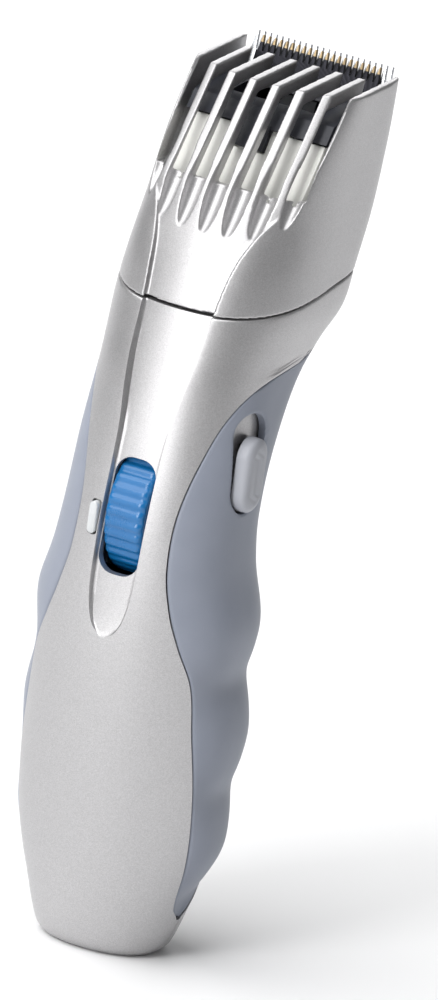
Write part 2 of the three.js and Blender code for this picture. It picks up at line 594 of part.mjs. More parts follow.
const hub = cut(bar('z', 2.3, EYE, EYE + 2.4, [0, 0], 20), hubBore);
add(head, 'eccentric', 'white', join(hub, bar('z', PIN_RADIUS, EYE + 2, EYE + 5, [THROW, 0], 12)));

const PIVOT_W = EYE + 4 + LEVER_LOW;
const DRIVER_W = PIVOT_W + LEVER_HIGH;
const BLADE_BACK = 15.8;
const FIXED_FRONT = BLADE_BACK - BLADE_THICKNESS;
const MOVING_BACK = FIXED_FRONT - 0.2;
const MOVING_FRONT = MOVING_BACK - BLADE_THICKNESS;
const LEVER_THICK = 3;
const LEVER_PIN = 1.25; // radius
const fork = PIN_RADIUS + 2 * THROW + GAP;
const leverArm = [
  [-2.6, EYE + 2.9], [2.6, EYE + 2.9], [3, PIVOT_W],
  [8.4, DRIVER_W + 1], [1, DRIVER_W - 3], [-3, PIVOT_W],
];
const leverPlate = cut(
  join(
    prism(leverArm, -LEVER_THICK / 2, LEVER_THICK / 2),
    block(-fork - 1.3, fork + 1.3, -2.6, 2.6, EYE + 2.9, EYE + 6.4),
    block(-1.1, 1.1, 6, MOVING_FRONT - 1.2, DRIVER_W - 1, DRIVER_W + 1),
  ),
  block(-fork, fork, -4, 4, EYE, EYE + 5.3),
  bar('y', LEVER_PIN + FIT, -9, 9, [0, PIVOT_W], 16),
);
add(head, 'drive_lever', 'white', leverPlate);
const frameFrontAt = (w) => frameFront + ((w - PLATE_W) * 5.4) / 25;
const leverPin = bar('y', LEVER_PIN, frameFrontAt(PIVOT_W) + 1.9, 7.2, [0, PIVOT_W], 16);
add(head, 'lever_pin', 'steel', leverPin);

// Inner head: hollow, with the lever inside and a flight at each side for the carrier tabs.
const HEAD_LOW = PLATE_W + PLATE_THICK + GAP;
const HEAD_TOP = 29.5;
const NECK_HALF = 14.1;
const HEAD_BACK = 13.4;
const headProfile = (inset, past) => [
  [frameFrontAt(HEAD_LOW) + inset, HEAD_LOW - past],
  [HEAD_BACK - inset, HEAD_LOW - past],
  [HEAD_BACK - inset, HEAD_TOP + past],
  [frameFrontAt(HEAD_TOP) + inset, HEAD_TOP + past],
];
const flight = (sign) => {
  const [inner, outer] = [sign * (RACK_X - 0.4), sign * 20].sort((a, b) => a - b);
  return block(inner, outer, TAB.v0 - 0.5, BAR_BACK + 0.5, -5, TAB.w1 + COMB_TRAVEL + 0.8);
};
const CAVITY = 7;
const HEAD_WALL = 1.5;
const driverWay = block(-CAVITY, CAVITY, 5, 20, 25.5, 60);
const innerHead = join(
  cut(
    prism(headProfile(0, 0), -NECK_HALF, NECK_HALF),
    prism(headProfile(HEAD_WALL, 1), -CAVITY, CAVITY),
    driverWay,
  ),
  block(-CAVITY - 0.5, CAVITY + 0.5, frameFrontAt(PIVOT_W) + 0.5, -3 - GAP, PIVOT_W - 2.4, PIVOT_W + 2.4),
);
const TONGUE_LOW = 25.6;
const tongueWay = block(-3.1, 3.1, -9, -1.3, TONGUE_LOW - GAP, 40);
const pinHole = bar('y', LEVER_PIN + GAP, frameFrontAt(PIVOT_W) + 1.6, 9, [0, PIVOT_W], 16);
const footway = (sign) => {
  const [inner, outer] = [sign * 13.9, sign * 20].sort((a, b) => a - b);
  return block(inner, outer, -1, 20, -5, 60);
};
const neckHeights = [SEAM_Z - 9, SEAM_Z - 4, SEAM_Z].concat([0.15, 0.35, 0.55, 0.8, 1].map(inHead));
const neckLimit = inLean(core(neckHeights, -COMB_WALL - 1.2, 32));
const innerWays = [flight(1), flight(-1), pinHole, footway(1), footway(-1), tongueWay];
add(head, 'inner_head', 'white', cut(innerHead.intersect(neckLimit), ...innerWays));

// ---------------------------------------------------------------- blade unit (head frame)

const BLADE_HALF = 14.4;
const TIP_W = 47.2;
const housingProfile = [
  [-3.4, HEAD_TOP + GAP], [-2.4, 33.4], [-1.2, 34.2], [12.2, 40.4], [12.2, HEAD_TOP + GAP],
];
const tongueProfile = [
  [-4.6, TONGUE_LOW], [-1.7, TONGUE_LOW], [-1.7, HEAD_TOP + 1], [-3.3, HEAD_TOP + 1],
];
const tongue = prism(tongueProfile, -2.8, 2.8);
const SCREW_X = 11.6;
const SCREW_W = HEAD_TOP + 2.2;
const BLADE_LOW = HEAD_TOP + GAP;
const bosses = [-SCREW_X, SCREW_X].map((x) =>
  block(x - 2.6, x + 2.6, 12, FIXED_FRONT - GAP, BLADE_LOW, SCREW_W + 1.8));
const housing = cut(
  join(prism(housingProfile, -BLADE_HALF, BLADE_HALF), tongue, ...bosses),
  block(-8.7, 8.7, 0.6, 20, HEAD_TOP - 1, 37.4),
  ...[-SCREW_X, SCREW_X].map((x) => bar('y', 1.1 + GAP, 7, 20, [x, SCREW_W], 14)),
);
add(head, 'blade_housing', 'black', housing);

// A comb-toothed blade, in the plane of X and w.
function blade(halfWidthX, low, tip, root, teeth, v0, v1) {
  const shape = new THREE.Shape();
  shape.moveTo(-halfWidthX, low);
  shape.lineTo(halfWidthX, low);
  const step = (2 * halfWidthX) / teeth;
  for (let k = 0; k < teeth; k += 1) {
    const x = halfWidthX - k * step;
    shape.lineTo(x, root);
    shape.lineTo(x - step * 0.28, tip);
    shape.lineTo(x - step * 0.52, tip);
    shape.lineTo(x - step * 0.8, root);
  }
  shape.lineTo(-halfWidthX, root);
  const geometry = new THREE.ExtrudeGeometry(shape, { depth: v1 - v0, bevelEnabled: false });
  return solid(geometry.rotateX(quarter).translate(0, v1, 0));
}
const screwHoles = [-SCREW_X, SCREW_X].map((x) => bar('y', 1.9 + GAP, 12, 20, [x, SCREW_W], 16));
const fixedBlank = blade(BLADE_HALF, SCREW_W - 3.4, TIP_W, TIP_W - 3.4, 24, FIXED_FRONT, BLADE_BACK);
add(head, 'fixed_blade', 'steel', cut(fixedBlank, ...screwHoles));
const MOVING_LOW = 34.5;
const movingHalf = BLADE_HALF - 1.8;
const movingTeeth = [TIP_W - 0.7, TIP_W - 3.6, 21];
add(head, 'moving_blade', 'brass', blade(movingHalf, MOVING_LOW, ...movingTeeth, MOVING_FRONT, MOVING_BACK));
const driver = cut(
  block(-4, 4, 9.8, MOVING_FRONT - GAP, DRIVER_W - 1.8, 37.2),
  block(-1.1 - GAP, 1.1 + GAP, 0, MOVING_FRONT - 0.9, DRIVER_W - 4, DRIVER_W + 2.6),
);
add(head, 'blade_driver', 'black', driver);
add(head, 'blade_spring', 'steel', block(-8, 8, 12.5, 13, 38, 39.6));
for (const [side, x] of [['left', -SCREW_X], ['right', SCREW_X]]) {
  const shank = bar('y', 1.1, 8, FIXED_FRONT + 0.3, [x, SCREW_W], 14);
  const screwHead = bar('y', 1.9, FIXED_FRONT + 0.1, BLADE_BACK, [x, SCREW_W], 16);
  const screw = join(shank, screwHead);
  add(head, `blade_screw_${side}`, 'steel', screw);
}

// ---------------------------------------------------------------- comb

const combHeights = [SEAM_Z - 4, SEAM_Z].concat([0.1, 0.22, 0.35, 0.48, 0.6, 0.72, 0.86, 1.02].map(inHead));
const topAt = (y) => TOP_Z - 1.5 + (y - 15) * 0.064;
const under = prism([
  [FAR_FRONT, -50], [FAR_BACK, -50], [FAR_BACK, topAt(FAR_BACK)], [FAR_FRONT, topAt(FAR_FRONT)],
], -FAR_SIDE, FAR_SIDE);
const overSeam = prism([
  [FAR_FRONT, seamAt(FAR_FRONT) + GAP / 2], [FAR_BACK, seamAt(FAR_BACK) + GAP / 2],
  [FAR_BACK, FAR_TOP], [FAR_FRONT, FAR_TOP],
], -FAR_SIDE, FAR_SIDE);
const SLOT_LOW = inHead(0.53);
const frontWall = (z) => grooveFloor(z) + (z < SLOT_LOW - 2 ? COMB_WALL : TINE_DEPTH + 0.6);
const cavityFront = [SEAM_Z - 6, SEAM_Z, inHead(0.2), SLOT_LOW - 2.1, SLOT_LOW, inHead(0.7)]
  .map((z) => [frontWall(z), z]);
const cavityTop = topAt(0) - TINE_DEPTH;
const bendY = grooveFloor(cavityTop) + TINE_DEPTH + 1.2;
const cavityShape = prism([
  ...cavityFront.reverse(), [FAR_BACK, SEAM_Z - 6], [FAR_BACK, topAt(FAR_BACK) - TINE_DEPTH],
  [bendY, topAt(bendY) - TINE_DEPTH],
], -FAR_SIDE, FAR_SIDE);
const recessWall = groove(grooveHeights, COMB_WALL);
const cavityBlank = core(combHeights.concat([inHead(1.1)]), -COMB_WALL, 32);
const cavity = cut(cavityBlank.intersect(cavityShape), recessWall);
const BAND_W = 11;
const sideInner = HEAD_HALF_WIDTH - 1.6 - COMB_WALL;
const rearWay = inWorld(block(-sideInner, sideInner, 9, 60, BAND_W, 70));
const slotHalf = (TINE_PITCH - TINE_WIDTH) / 2;
const slots = Array.from({ length: TINES + 1 }, (_, i) => {
  const x = (i - TINES / 2) * TINE_PITCH;
  const low = x - slotHalf;
  const high = x + slotHalf;
  const [x0, x1] = [Math.max(low, -sideInner), Math.min(high, sideInner)];
  return block(x0, x1, FAR_FRONT, FAR_BACK, SLOT_LOW, FAR_TOP);
});
const TINE_END = MOVING_FRONT - 0.4;
const bladeWay = inWorld(block(-sideInner, sideInner, TINE_END, 60, 14, 70));
const facet = (sign) => {
  const points = [[sideInner + 0.5, TOP_Z + 1.5], [W + 3, TOP_Z + 1.5], [W + 3, TOP_Z - 6.5]];
  const shape = new THREE.Shape(points.map(([x, z]) => new THREE.Vector2(sign * x, z)));
  const geometry = new THREE.ExtrudeGeometry(shape, { depth: 60, bevelEnabled: false });
  return solid(geometry.rotateX(quarter).translate(0, 70, 0));
};
const footDepth = [TAB.v0 - 2, TAB.v1 + 2];
const footW = seamW(TAB.v1 + 2) + 0.8;
const foot = (sign) => {
  const side = (a, b, ...rest) => block(...[sign * a, sign * b].sort((p, q) => p - q), ...rest);
  return cut(
    join(
      side(14.9, 15.7, ...footDepth, TAB.w0 - GAP, footW + 3),
      side(14.9, 17.4, ...footDepth, footW, footW + 3),
    ),
    side(14, 18, TAB.v0 - GAP, TAB.v1 + GAP, TAB.w0 - 1, TAB.w1 + GAP),
  );
};
const combShell = cut(
  core(combHeights, 0).intersect(under).intersect(overSeam),
  groove(grooveHeights), cavity, rearWay, bladeWay, ...slots, facet(1), facet(-1),
);
add(trimmer, 'comb', 'silver', join(combShell, inWorld(join(foot(1), foot(-1)))));

// ---------------------------------------------------------------- power switch

const button = join(
  oval(BUTTON_HALF[0], BUTTON_HALF[1], SWITCH_Y, SWITCH_Z, sideX - GRIP + 0.2, sideX + 1.1),
  oval(BUTTON_HALF[0] - 0.8, BUTTON_HALF[1] - 0.8, SWITCH_Y, SWITCH_Z, sideX, sideX + 1.7),
  block(sideX - 5, sideX, SWITCH_Y - 1.1, SWITCH_Y + 1.1, SWITCH_Z - 2.1, SWITCH_Z + 2.1),
);
add(trimmer, 'switch_button', 'button', button);
const sliderX = sideX - 5 - GAP;
const SLIDER_HALF = [2.6, 3]; // across and up
const sliderPlate = (x0, x1, below) => block(
  x0, x1, SWITCH_Y - SLIDER_HALF[0], SWITCH_Y + SLIDER_HALF[0],
  SWITCH_Z - SLIDER_HALF[1] - below, SWITCH_Z + SLIDER_HALF[1],
);
add(trimmer, 'switch_slider', 'black', sliderPlate(sliderX - 1.2, sliderX, 0));
add(trimmer, 'switch_contact', 'brass', sliderPlate(sliderX - 2.1, sliderX - 1.5, 0.5));

export default trimmer;
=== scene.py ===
# %% [markdown]
# # A cordless beard trimmer
# The trimmer has a hard silver casing, two soft side grips, a thumb dial that raises a clip-on comb, a slide
# switch, and a steel cutter behind the comb's tines. The mechanical model is loaded as a fixed frame. This
# file gives each visible piece a fine surface and each finish a procedural material.

# %% Load the frame
import json
import math

import bmesh
import bpy
import numpy as np
from mathutils import Matrix, Vector


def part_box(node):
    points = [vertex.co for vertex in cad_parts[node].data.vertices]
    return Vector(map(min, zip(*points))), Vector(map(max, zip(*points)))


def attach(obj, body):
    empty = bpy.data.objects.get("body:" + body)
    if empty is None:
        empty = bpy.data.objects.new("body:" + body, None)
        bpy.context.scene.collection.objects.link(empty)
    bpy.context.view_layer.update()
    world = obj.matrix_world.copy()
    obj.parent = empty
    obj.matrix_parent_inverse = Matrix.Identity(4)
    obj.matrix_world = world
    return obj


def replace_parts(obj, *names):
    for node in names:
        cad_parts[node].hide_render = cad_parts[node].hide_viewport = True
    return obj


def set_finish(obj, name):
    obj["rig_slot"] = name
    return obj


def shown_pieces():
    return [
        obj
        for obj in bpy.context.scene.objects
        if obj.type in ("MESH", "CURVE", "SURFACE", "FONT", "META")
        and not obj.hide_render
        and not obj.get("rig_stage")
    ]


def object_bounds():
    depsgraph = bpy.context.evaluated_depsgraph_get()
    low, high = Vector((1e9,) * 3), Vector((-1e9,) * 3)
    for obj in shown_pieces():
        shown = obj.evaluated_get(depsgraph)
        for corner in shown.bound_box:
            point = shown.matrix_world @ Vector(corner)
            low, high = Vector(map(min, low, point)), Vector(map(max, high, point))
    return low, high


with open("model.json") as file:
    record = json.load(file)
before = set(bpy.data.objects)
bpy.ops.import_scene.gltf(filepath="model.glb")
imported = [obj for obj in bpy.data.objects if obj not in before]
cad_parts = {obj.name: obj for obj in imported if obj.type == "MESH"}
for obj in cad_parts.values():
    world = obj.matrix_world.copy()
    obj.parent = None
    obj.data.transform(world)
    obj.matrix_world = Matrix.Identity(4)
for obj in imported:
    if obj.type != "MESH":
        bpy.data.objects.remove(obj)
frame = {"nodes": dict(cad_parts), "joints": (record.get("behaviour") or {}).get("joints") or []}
cad_low, cad_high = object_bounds()
MM = 0.001

# %% [markdown]
# ## Camera
# A long lens far away keeps the sides of a small product nearly parallel. The trimmer stands upright in its own
# frame, so the camera is turned to its switch side, raised, and rolled, which makes the trimmer lean in the view.

# %% Camera
TILT = math.radians(18.5)
YAW = math.radians(25)
ROLL = math.radians(16.5)
DISTANCE = 3.0
LENS = 603.5
AIM = Vector((12.5, -4.3, 87.7)) * MM
across = Vector((math.cos(YAW), math.sin(YAW) * math.cos(TILT), -math.sin(YAW) * math.sin(TILT)))
upward = Vector((0, math.sin(TILT), math.cos(TILT)))
towards = across.cross(upward)
right = across * math.cos(ROLL) + upward * math.sin(ROLL)
top = upward * math.cos(ROLL) - across * math.sin(ROLL)
camera_data = bpy.data.cameras.new("camera")
camera_data.lens = LENS
camera_data.clip_end = 20
camera = bpy.data.objects.new("camera", camera_data)
turn = Matrix((right, top, towards)).transposed().to_4x4()
camera.matrix_world = Matrix.Translation(AIM + towards * DISTANCE) @ turn
bpy.context.scene.collection.objects.link(camera)
bpy.context.scene.camera = camera
bpy.context.scene.view_settings.view_transform = "Standard"
print("camera at", [round(c, 3) for c in camera.location])

# %% [markdown]
# ## Outline of the body
# The casing, the grips and the comb share one smooth outline: at each height it is an oval with its own
# half-width, depth and squareness. A cubic through a few heights is enough, and it can be sampled as finely as a
# surface needs. Heights are counted from the frame's own levels, in millimetres.

# %% Cubic through a few points
def through(points):
    at = np.array([p[0] for p in points], float)
    value = np.array([p[1] for p in points], float)
    after = np.minimum(np.arange(len(at)) + 1, len(at) - 1)
    before = np.maximum(np.arange(len(at)) - 1, 0)
    slope = (value[after] - value[before]) / (at[after] - at[before])

    def curve(x):
        x = np.clip(np.asarray(x, float), at[0], at[-1])
        i = np.clip(np.searchsorted(at, x, side="right") - 1, 0, len(at) - 2)
        span = at[i + 1] - at[i]
        t = (x - at[i]) / span
        bend = (value[i + 1] - value[i]) / span
        a = slope[i] - bend
        b = bend - slope[i + 1]
        return value[i] + span * t * (bend + (1 - t) * (a * (1 - t) + b * t))

    return curve


# %% Levels of the body
joints = {joint["name"]: joint for joint in frame["joints"]}
dial_y, dial_z = (joints["dial_turn"]["pos_m"][i] / MM for i in (1, 2))
LEAN = math.atan2(joints["comb_slide"]["axis"][1], joints["comb_slide"]["axis"][2])
GAP = 0.3
WALL = 1.6
GRIP = 1.5
CHANNEL_DEPTH = 1.1
DIAL_RADIUS = (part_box("comb_dial")[1].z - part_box("comb_dial")[0].z) / MM / 2
DIAL_WIDTH = (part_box("comb_dial")[1].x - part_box("comb_dial")[0].x) / MM
BAY_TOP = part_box("cell_left")[1].z / MM
HEAD_HEIGHT = 40
HEAD_Z = joints["motor_spin"]["pos_m"][2] / MM
HEAD_Y = joints["motor_spin"]["pos_m"][1] / MM
SEAM_Z = HEAD_Z - 1
TOP_Z = SEAM_Z + HEAD_HEIGHT
HANDLE_HALF = 20
HEAD_HALF = 18.5


def in_handle(share):
    return share * BAY_TOP


def in_neck(share):
    return BAY_TOP + share * (SEAM_Z - BAY_TOP)


def in_head(share):
    return SEAM_Z + share * HEAD_HEIGHT


print("levels:", round(BAY_TOP, 1), round(dial_z, 1), round(SEAM_Z, 1), round(TOP_Z, 1))

# %% The outline at each height
DIAL_BACK = dial_y + DIAL_RADIUS + WALL + 2.2
SECTIONS = [
    # height, half-width, front, widest place, back, squareness of the front, of the back
    (0, HANDLE_HALF - 9, -9, 0, 9, 2.2, 2.2),
    (in_handle(0.03), HANDLE_HALF - 7.4, -10.6, 0, 10.4, 2.2, 2.2),
    (in_handle(0.15), HANDLE_HALF - 4.8, -12.7, 0, 12.4, 2.2, 2.2),
    (in_handle(0.32), HANDLE_HALF - 1.4, -14.6, -0.2, 14.5, 2.1, 2.3),
    (in_handle(0.51), HANDLE_HALF, -16, -0.4, 15.4, 2.1, 2.4),
    (in_handle(0.7), HANDLE_HALF, -17, -0.6, 15.8, 2.2, 2.4),
    (in_handle(0.88), HANDLE_HALF - 0.4, -17.5, -0.8, 15.8, 2.3, 2.4),
    (in_neck(0.06), HANDLE_HALF - 0.9, -17.4, -1, 15.3, 2.45, 2.4),
    (in_neck(0.2), HANDLE_HALF - 2.2, -17, -1.2, 13.8, 2.55, 2.4),
    (in_neck(0.34), HANDLE_HALF - 2.9, -16.3, -0.6, DIAL_BACK, 2.6, 2.5),
    (in_neck(0.55), HEAD_HALF - 1.6, -14.4, 1, DIAL_BACK + 1.2, 2.6, 2.8),
    (in_neck(0.77), HEAD_HALF - 1.7, -11.9, 5, 18.2, 2.6, 3.4),
    (in_neck(0.9), HEAD_HALF - 0.9, -9.6, 8.5, 22.8, 2.6, 4.2),
    (SEAM_Z, HEAD_HALF, -7.7, 12.5, 26.4, 2.6, 6),
    (in_head(0.18), HEAD_HALF - 0.3, -5.4, 15, 29.2, 2.7, 7),
    (in_head(0.4), HEAD_HALF - 0.8, -1.2, 18, 33, 2.9, 8),
    (in_head(0.62), HEAD_HALF - 1.2, 2.6, 21, 35.4, 3.2, 8),
    (in_head(0.8), HEAD_HALF - 1.4, 8, 23, 36.6, 3.6, 8),
    (in_head(1), HEAD_HALF - 1.6, 15.5, 26, 37, 4, 8),
]
half_width, front, middle, back, front_power, back_power = (
    through([(row[0], row[i]) for row in SECTIONS]) for i in range(1, 7)
)


def plain_outline(z, a):
    c, s = np.cos(a), np.sin(a)
    power = np.where(s > 0, back_power(z), front_power(z))
    reach = np.where(s > 0, back(z) - middle(z), middle(z) - front(z))
    x = half_width(z) * np.sign(c) * np.abs(c) ** (2 / power)
    y = middle(z) + reach * np.sign(s) * np.abs(s) ** (2 / power)
    return x, y


def outline(z, a, out=0.0):
    """x and y at height z and turn a, moved out square to the outline."""
    x, y = plain_outline(z, a)
    x0, y0 = plain_outline(z, a - 0.02)
    x1, y1 = plain_outline(z, a + 0.02)
    length = np.hypot(x1 - x0, y1 - y0)
    return x + out * (y1 - y0) / length, y - out * (x1 - x0) / length


def smooth(t):
    t = np.clip(t, 0, 1)
    return t * t * (3 - 2 * t)


# %% The front groove and the grips, as curves over the height
SCOOP_Z = dial_z - 22
groove_half = through([
    (SCOOP_Z, 0.4), (SCOOP_Z + 1.2, 2), (SCOOP_Z + 4, 3.4), (dial_z - 11, 4.3), (dial_z + 11, 4.6),
    (in_neck(0.63), 4.9), (in_neck(0.74), 5.8), (in_neck(0.86), 6.6), (SEAM_Z, 7.1),
    (in_head(0.17), 7.9), (in_head(0.28), 8.9), (in_head(0.4), 11), (in_head(0.5), 14),
    (in_head(0.62), 15.6), (TOP_Z, 15.8),
])
groove_curve = through([(dial_z, 0.008), (SEAM_Z, 0.013), (in_head(0.5), 0.0152)])
groove_floor = through([
    (SCOOP_Z, front(SCOOP_Z) + 0.1), (SCOOP_Z + 5, front(SCOOP_Z + 5) + 0.8),
    (dial_z, front(dial_z) + 1.5), (in_neck(0.55), front(in_neck(0.55)) + 1.4),
    (SEAM_Z, front(SEAM_Z) + CHANNEL_DEPTH), (in_head(0.2), front(in_head(0.2)) + 1),
    (in_head(0.4), -0.7), (in_head(0.53), 1.9), (in_head(0.75), 8.3), (TOP_Z, 15.5),
])
GRIP_LOW = in_handle(0.12)
GRIP_HIGH = in_neck(0.86)
grip_front = through([
    (GRIP_LOW, -0.02), (in_handle(0.16), -0.22), (in_handle(0.28), -0.34), (in_handle(0.41), -0.42),
    (in_handle(0.56), -0.5), (in_handle(0.7), -0.58), (in_handle(0.85), -0.66), (in_handle(0.96), -0.86),
    (in_neck(0.06), -1), (in_neck(0.2), -1.08), (in_neck(0.4), -1.05), (in_neck(0.6), -0.85),
    (in_neck(0.72), -0.62), (in_neck(0.8), -0.28), (GRIP_HIGH, 0.3),
])
grip_rear = through([
    (GRIP_LOW, 0.06), (in_handle(0.2), 0.5), (in_handle(0.5), 0.78), (in_handle(0.8), 0.9),
    (in_neck(0.2), 0.95), (in_neck(0.5), 0.85), (in_neck(0.75), 0.6), (GRIP_HIGH, 0.36),
])
print("groove from", round(SCOOP_Z, 1), "and grips from", round(GRIP_LOW, 1), "to", round(GRIP_HIGH, 1))

# %% [markdown]
# ## Meshes from grids
# A moulded wall is a grid of points, whose rows go up the body and whose columns follow the edges of the groove
# and the grips. Edges then stay crisp with few faces, and highlights run smoothly. Small openings are cut with
# booleans, and a Bevel rounds the edges of simple solids, as a mould does.

# %% Grid, solid and modifier helpers
def new_piece(name, points, faces):
    mesh = bpy.data.meshes.new(name)
    mesh.from_pydata([tuple(MM * c for c in p) for p in points], [], faces)
    mesh.validate()
    piece = bpy.data.objects.new(name, mesh)
    bpy.context.scene.collection.objects.link(piece)
    return piece


def grid_faces(rows, columns, closed):
    wrap = columns if closed else columns - 1
    faces = []
    for r in range(rows - 1):
        for c in range(wrap):
            d = (c + 1) % columns
            faces.append((r * columns + c, r * columns + d, (r + 1) * columns + d, (r + 1) * columns + c))
    return faces


def apply(piece):
    """Bake the modifiers into the mesh."""
    graph = bpy.context.evaluated_depsgraph_get()
    baked = bpy.data.meshes.new_from_object(piece.evaluated_get(graph))
    piece.modifiers.clear()
    piece.data = baked
    return piece


def boolean(piece, tool, operation="DIFFERENCE"):
    cutter = piece.modifiers.new("cut", "BOOLEAN")
    cutter.operation = operation
    cutter.object = tool
    cutter.solver = "MANIFOLD"
    apply(piece)
    bpy.data.objects.remove(tool)
    return piece


def round_edges(piece, width, segments=2, angle=40):
    bevel = piece.modifiers.new("rounding", "BEVEL")
    bevel.width = width * MM
    bevel.segments = segments
    bevel.limit_method = "ANGLE"
    bevel.angle_limit = math.radians(angle)
    return apply(piece)


def shade(piece, angle=35):
    for polygon in piece.data.polygons:
        polygon.use_smooth = True
    piece.data.set_sharp_from_angle(angle=math.radians(angle))
    return piece

# %% [markdown]
# ## Casing
# The hard casing is one moulded tube with a groove down the dial side and a shallow pocket on each side for the
# soft grips. It could be cut out of a plain tube with booleans, but every cut edge would then cross the grid at
# random. Here the grid's columns run along the groove and the pockets, so those edges are part of the grid, and
# only the small openings are cut afterwards.

# %% Depth of the groove
SEAM_SLOPE = 0.173
SCOOP_FADE = 1.4


def seam_at(y):
    return SEAM_Z + 1.3 + SEAM_SLOPE * y


def turn_at(x, z):
    """The turn at which the front of the outline is x from the middle."""
    share = np.clip(x / half_width(z), 0, 1)
    return -np.arccos(share ** (front_power(z) / 2))


def groove_depth(x, y, z, inner=0.0):
    """How far the groove stands behind the outline, in y."""
    floor = groove_floor(z) + groove_curve(z) * x * x + inner
    edge = smooth((groove_half(z) + 0.12 + inner * 0.8 - np.abs(x)) / 0.42)
    scoop = smooth((z - SCOOP_Z + 0.3 + inner) / SCOOP_FADE)
    return np.maximum(floor - y, 0) * edge * scoop


# %% Columns of the casing: (which stretch, share of it, inside the grip pocket)
POCKET = GRIP + GAP
GROOVE, PANEL, UNDER_GRIP, REAR = range(4)
half_columns = [(GROOVE, s, 0) for s in (0, 0.14, 0.28, 0.42, 0.56, 0.7, 0.82, 0.89, 0.93, 0.96, 0.985, 1)]
half_columns += [(PANEL, s, 0) for s in (0.03, 0.08, 0.16, 0.26, 0.36, 0.46, 0.56, 0.66, 0.76, 0.86, 0.94, 1)]
half_columns += [(UNDER_GRIP, s, 1) for s in np.linspace(0, 1, 13)]
half_columns += [(REAR, s, 0) for s in np.linspace(0, 1, 19)]
STEP = 0.004


def casing_turns(z, inner):
    """Turns of the half columns at heights z, one row of z for each column."""
    line = 0.012 if inner == 0 else 0.09
    groove = turn_at(groove_half(z) + 0.18, z)
    front_edge = grip_front(z) - line
    rear_edge = grip_rear(z) + line
    ends = {
        GROOVE: (np.full_like(z, -math.pi / 2), groove),
        PANEL: (groove, front_edge),
        UNDER_GRIP: (front_edge + STEP, rear_edge - STEP),
        REAR: (rear_edge, np.full_like(z, math.pi / 2)),
    }
    turns = np.empty_like(z)
    for c, (stretch, share, _) in enumerate(half_columns):
        low, high = ends[stretch]
        turns[:, c] = low[:, c] + share * (high[:, c] - low[:, c])
    return turns


def casing_skin(z, out, inner=0.0):
    """Points of the right half at heights z (rows x half columns); inner is the wall behind the groove."""
    turns = casing_turns(z, inner)
    in_pocket = np.array([c[2] for c in half_columns])
    low_end = (z - (GRIP_LOW - GAP - inner)) / 0.12
    high_end = (GRIP_HIGH + GAP + inner - z) / 0.12
    pocket = in_pocket * np.clip(low_end, 0, 1) * np.clip(high_end, 0, 1)
    x, y = outline(z, turns, out - pocket * POCKET)
    x[:, 0] = 0
    x[:, -1] = 0
    y += groove_depth(x, y, z, inner)
    return np.stack([x, y, z], axis=2)


def full_ring(half):
    """The right half with its mirror image, as closed rings."""
    left = half[:, -2:0:-1].copy()
    left[:, :, 0] *= -1
    return np.concatenate([half, left], axis=1)


print("columns in half a ring:", len(half_columns))

# %% Rows of the casing, which lean over to meet the slanted seam
LEAN_FROM = 92.0
upright_rows = sorted(
    list(np.arange(0.9, LEAN_FROM, 0.75))
    + [GRIP_LOW - GAP - 0.06, GRIP_LOW - GAP + 0.06, GRIP_LOW - GAP - WALL, SCOOP_Z - 0.2, SCOOP_Z + 0.2]
    + [SCOOP_Z + 0.6, SCOOP_Z + 1.0]
)
upper_shares = np.array(list(np.linspace(0, 0.965, 44)) + [0.985, 0.993, 0.998, 1])


def casing_rows(half_count, seam_gap):
    rows = [np.full(half_count, z) for z in upright_rows]
    line = np.zeros((len(upper_shares), half_count))
    line += LEAN_FROM + upper_shares[:, None] * (SEAM_Z - LEAN_FROM)
    for _ in range(6):
        turns = casing_turns(line, 0)
        _, y = outline(line, turns)
        line = LEAN_FROM + upper_shares[:, None] * (seam_at(y) - seam_gap - LEAN_FROM)
    return np.vstack([np.array(rows), line])


# %% Casing wall, inside and outside
def casing_solid():
    z = casing_rows(len(half_columns), GAP / 2)
    rim = np.zeros_like(z)
    rim[-1], rim[-2], rim[-3] = -0.24, -0.1, -0.03
    outer = full_ring(casing_skin(z, rim))
    base = []
    for share, height, inset in ((0.5, 0, 0.8), (1, 0, 0.8), (1, 0.1, 0.42), (1, 0.4, 0.12)):
        ring = full_ring(casing_skin(np.full((1, len(half_columns)), height), -inset))
        ring[:, :, :2] *= share
        base.append(ring)
    floor_row = np.argmax(z[:, 0] > 1.8)
    inner = full_ring(casing_skin(z[floor_row:], -WALL, WALL))[::-1]
    inner[0, :, 2] = outer[-1, :, 2]
    rings = np.concatenate(base + [outer, inner])
    count = rings.shape[1]
    faces = grid_faces(len(rings), count, closed=True)
    faces.append(tuple(range(count))[::-1])
    faces.append(tuple(range((len(rings) - 1) * count, len(rings) * count)))
    return new_piece("casing", rings.reshape(-1, 3), faces)


casing = casing_solid()
print("casing:", len(casing.data.polygons), "faces")

# %% Prisms and rounded plates that cut the openings
def extruded(name, outline_points, axis, low, high):
    """A closed prism from a flat outline, along x, y or z; the outline holds the other two coordinates."""
    order = {"x": (2, 0, 1), "y": (0, 2, 1), "z": (0, 1, 2)}[axis]
    points = [(a, b, low) for a, b in outline_points] + [(a, b, high) for a, b in outline_points]
    points = [tuple(p[i] for i in order) for p in points]
    n = len(outline_points)
    faces = [tuple(range(n))[::-1], tuple(range(n, 2 * n))]
    faces += [(i, (i + 1) % n, n + (i + 1) % n, n + i) for i in range(n)]
    piece = new_piece(name, points, faces)
    fix_normals(piece)
    return piece


def fix_normals(piece):
    mesh = bmesh.new()
    mesh.from_mesh(piece.data)
    bmesh.ops.recalc_face_normals(mesh, faces=mesh.faces)
    mesh.to_mesh(piece.data)
    mesh.free()


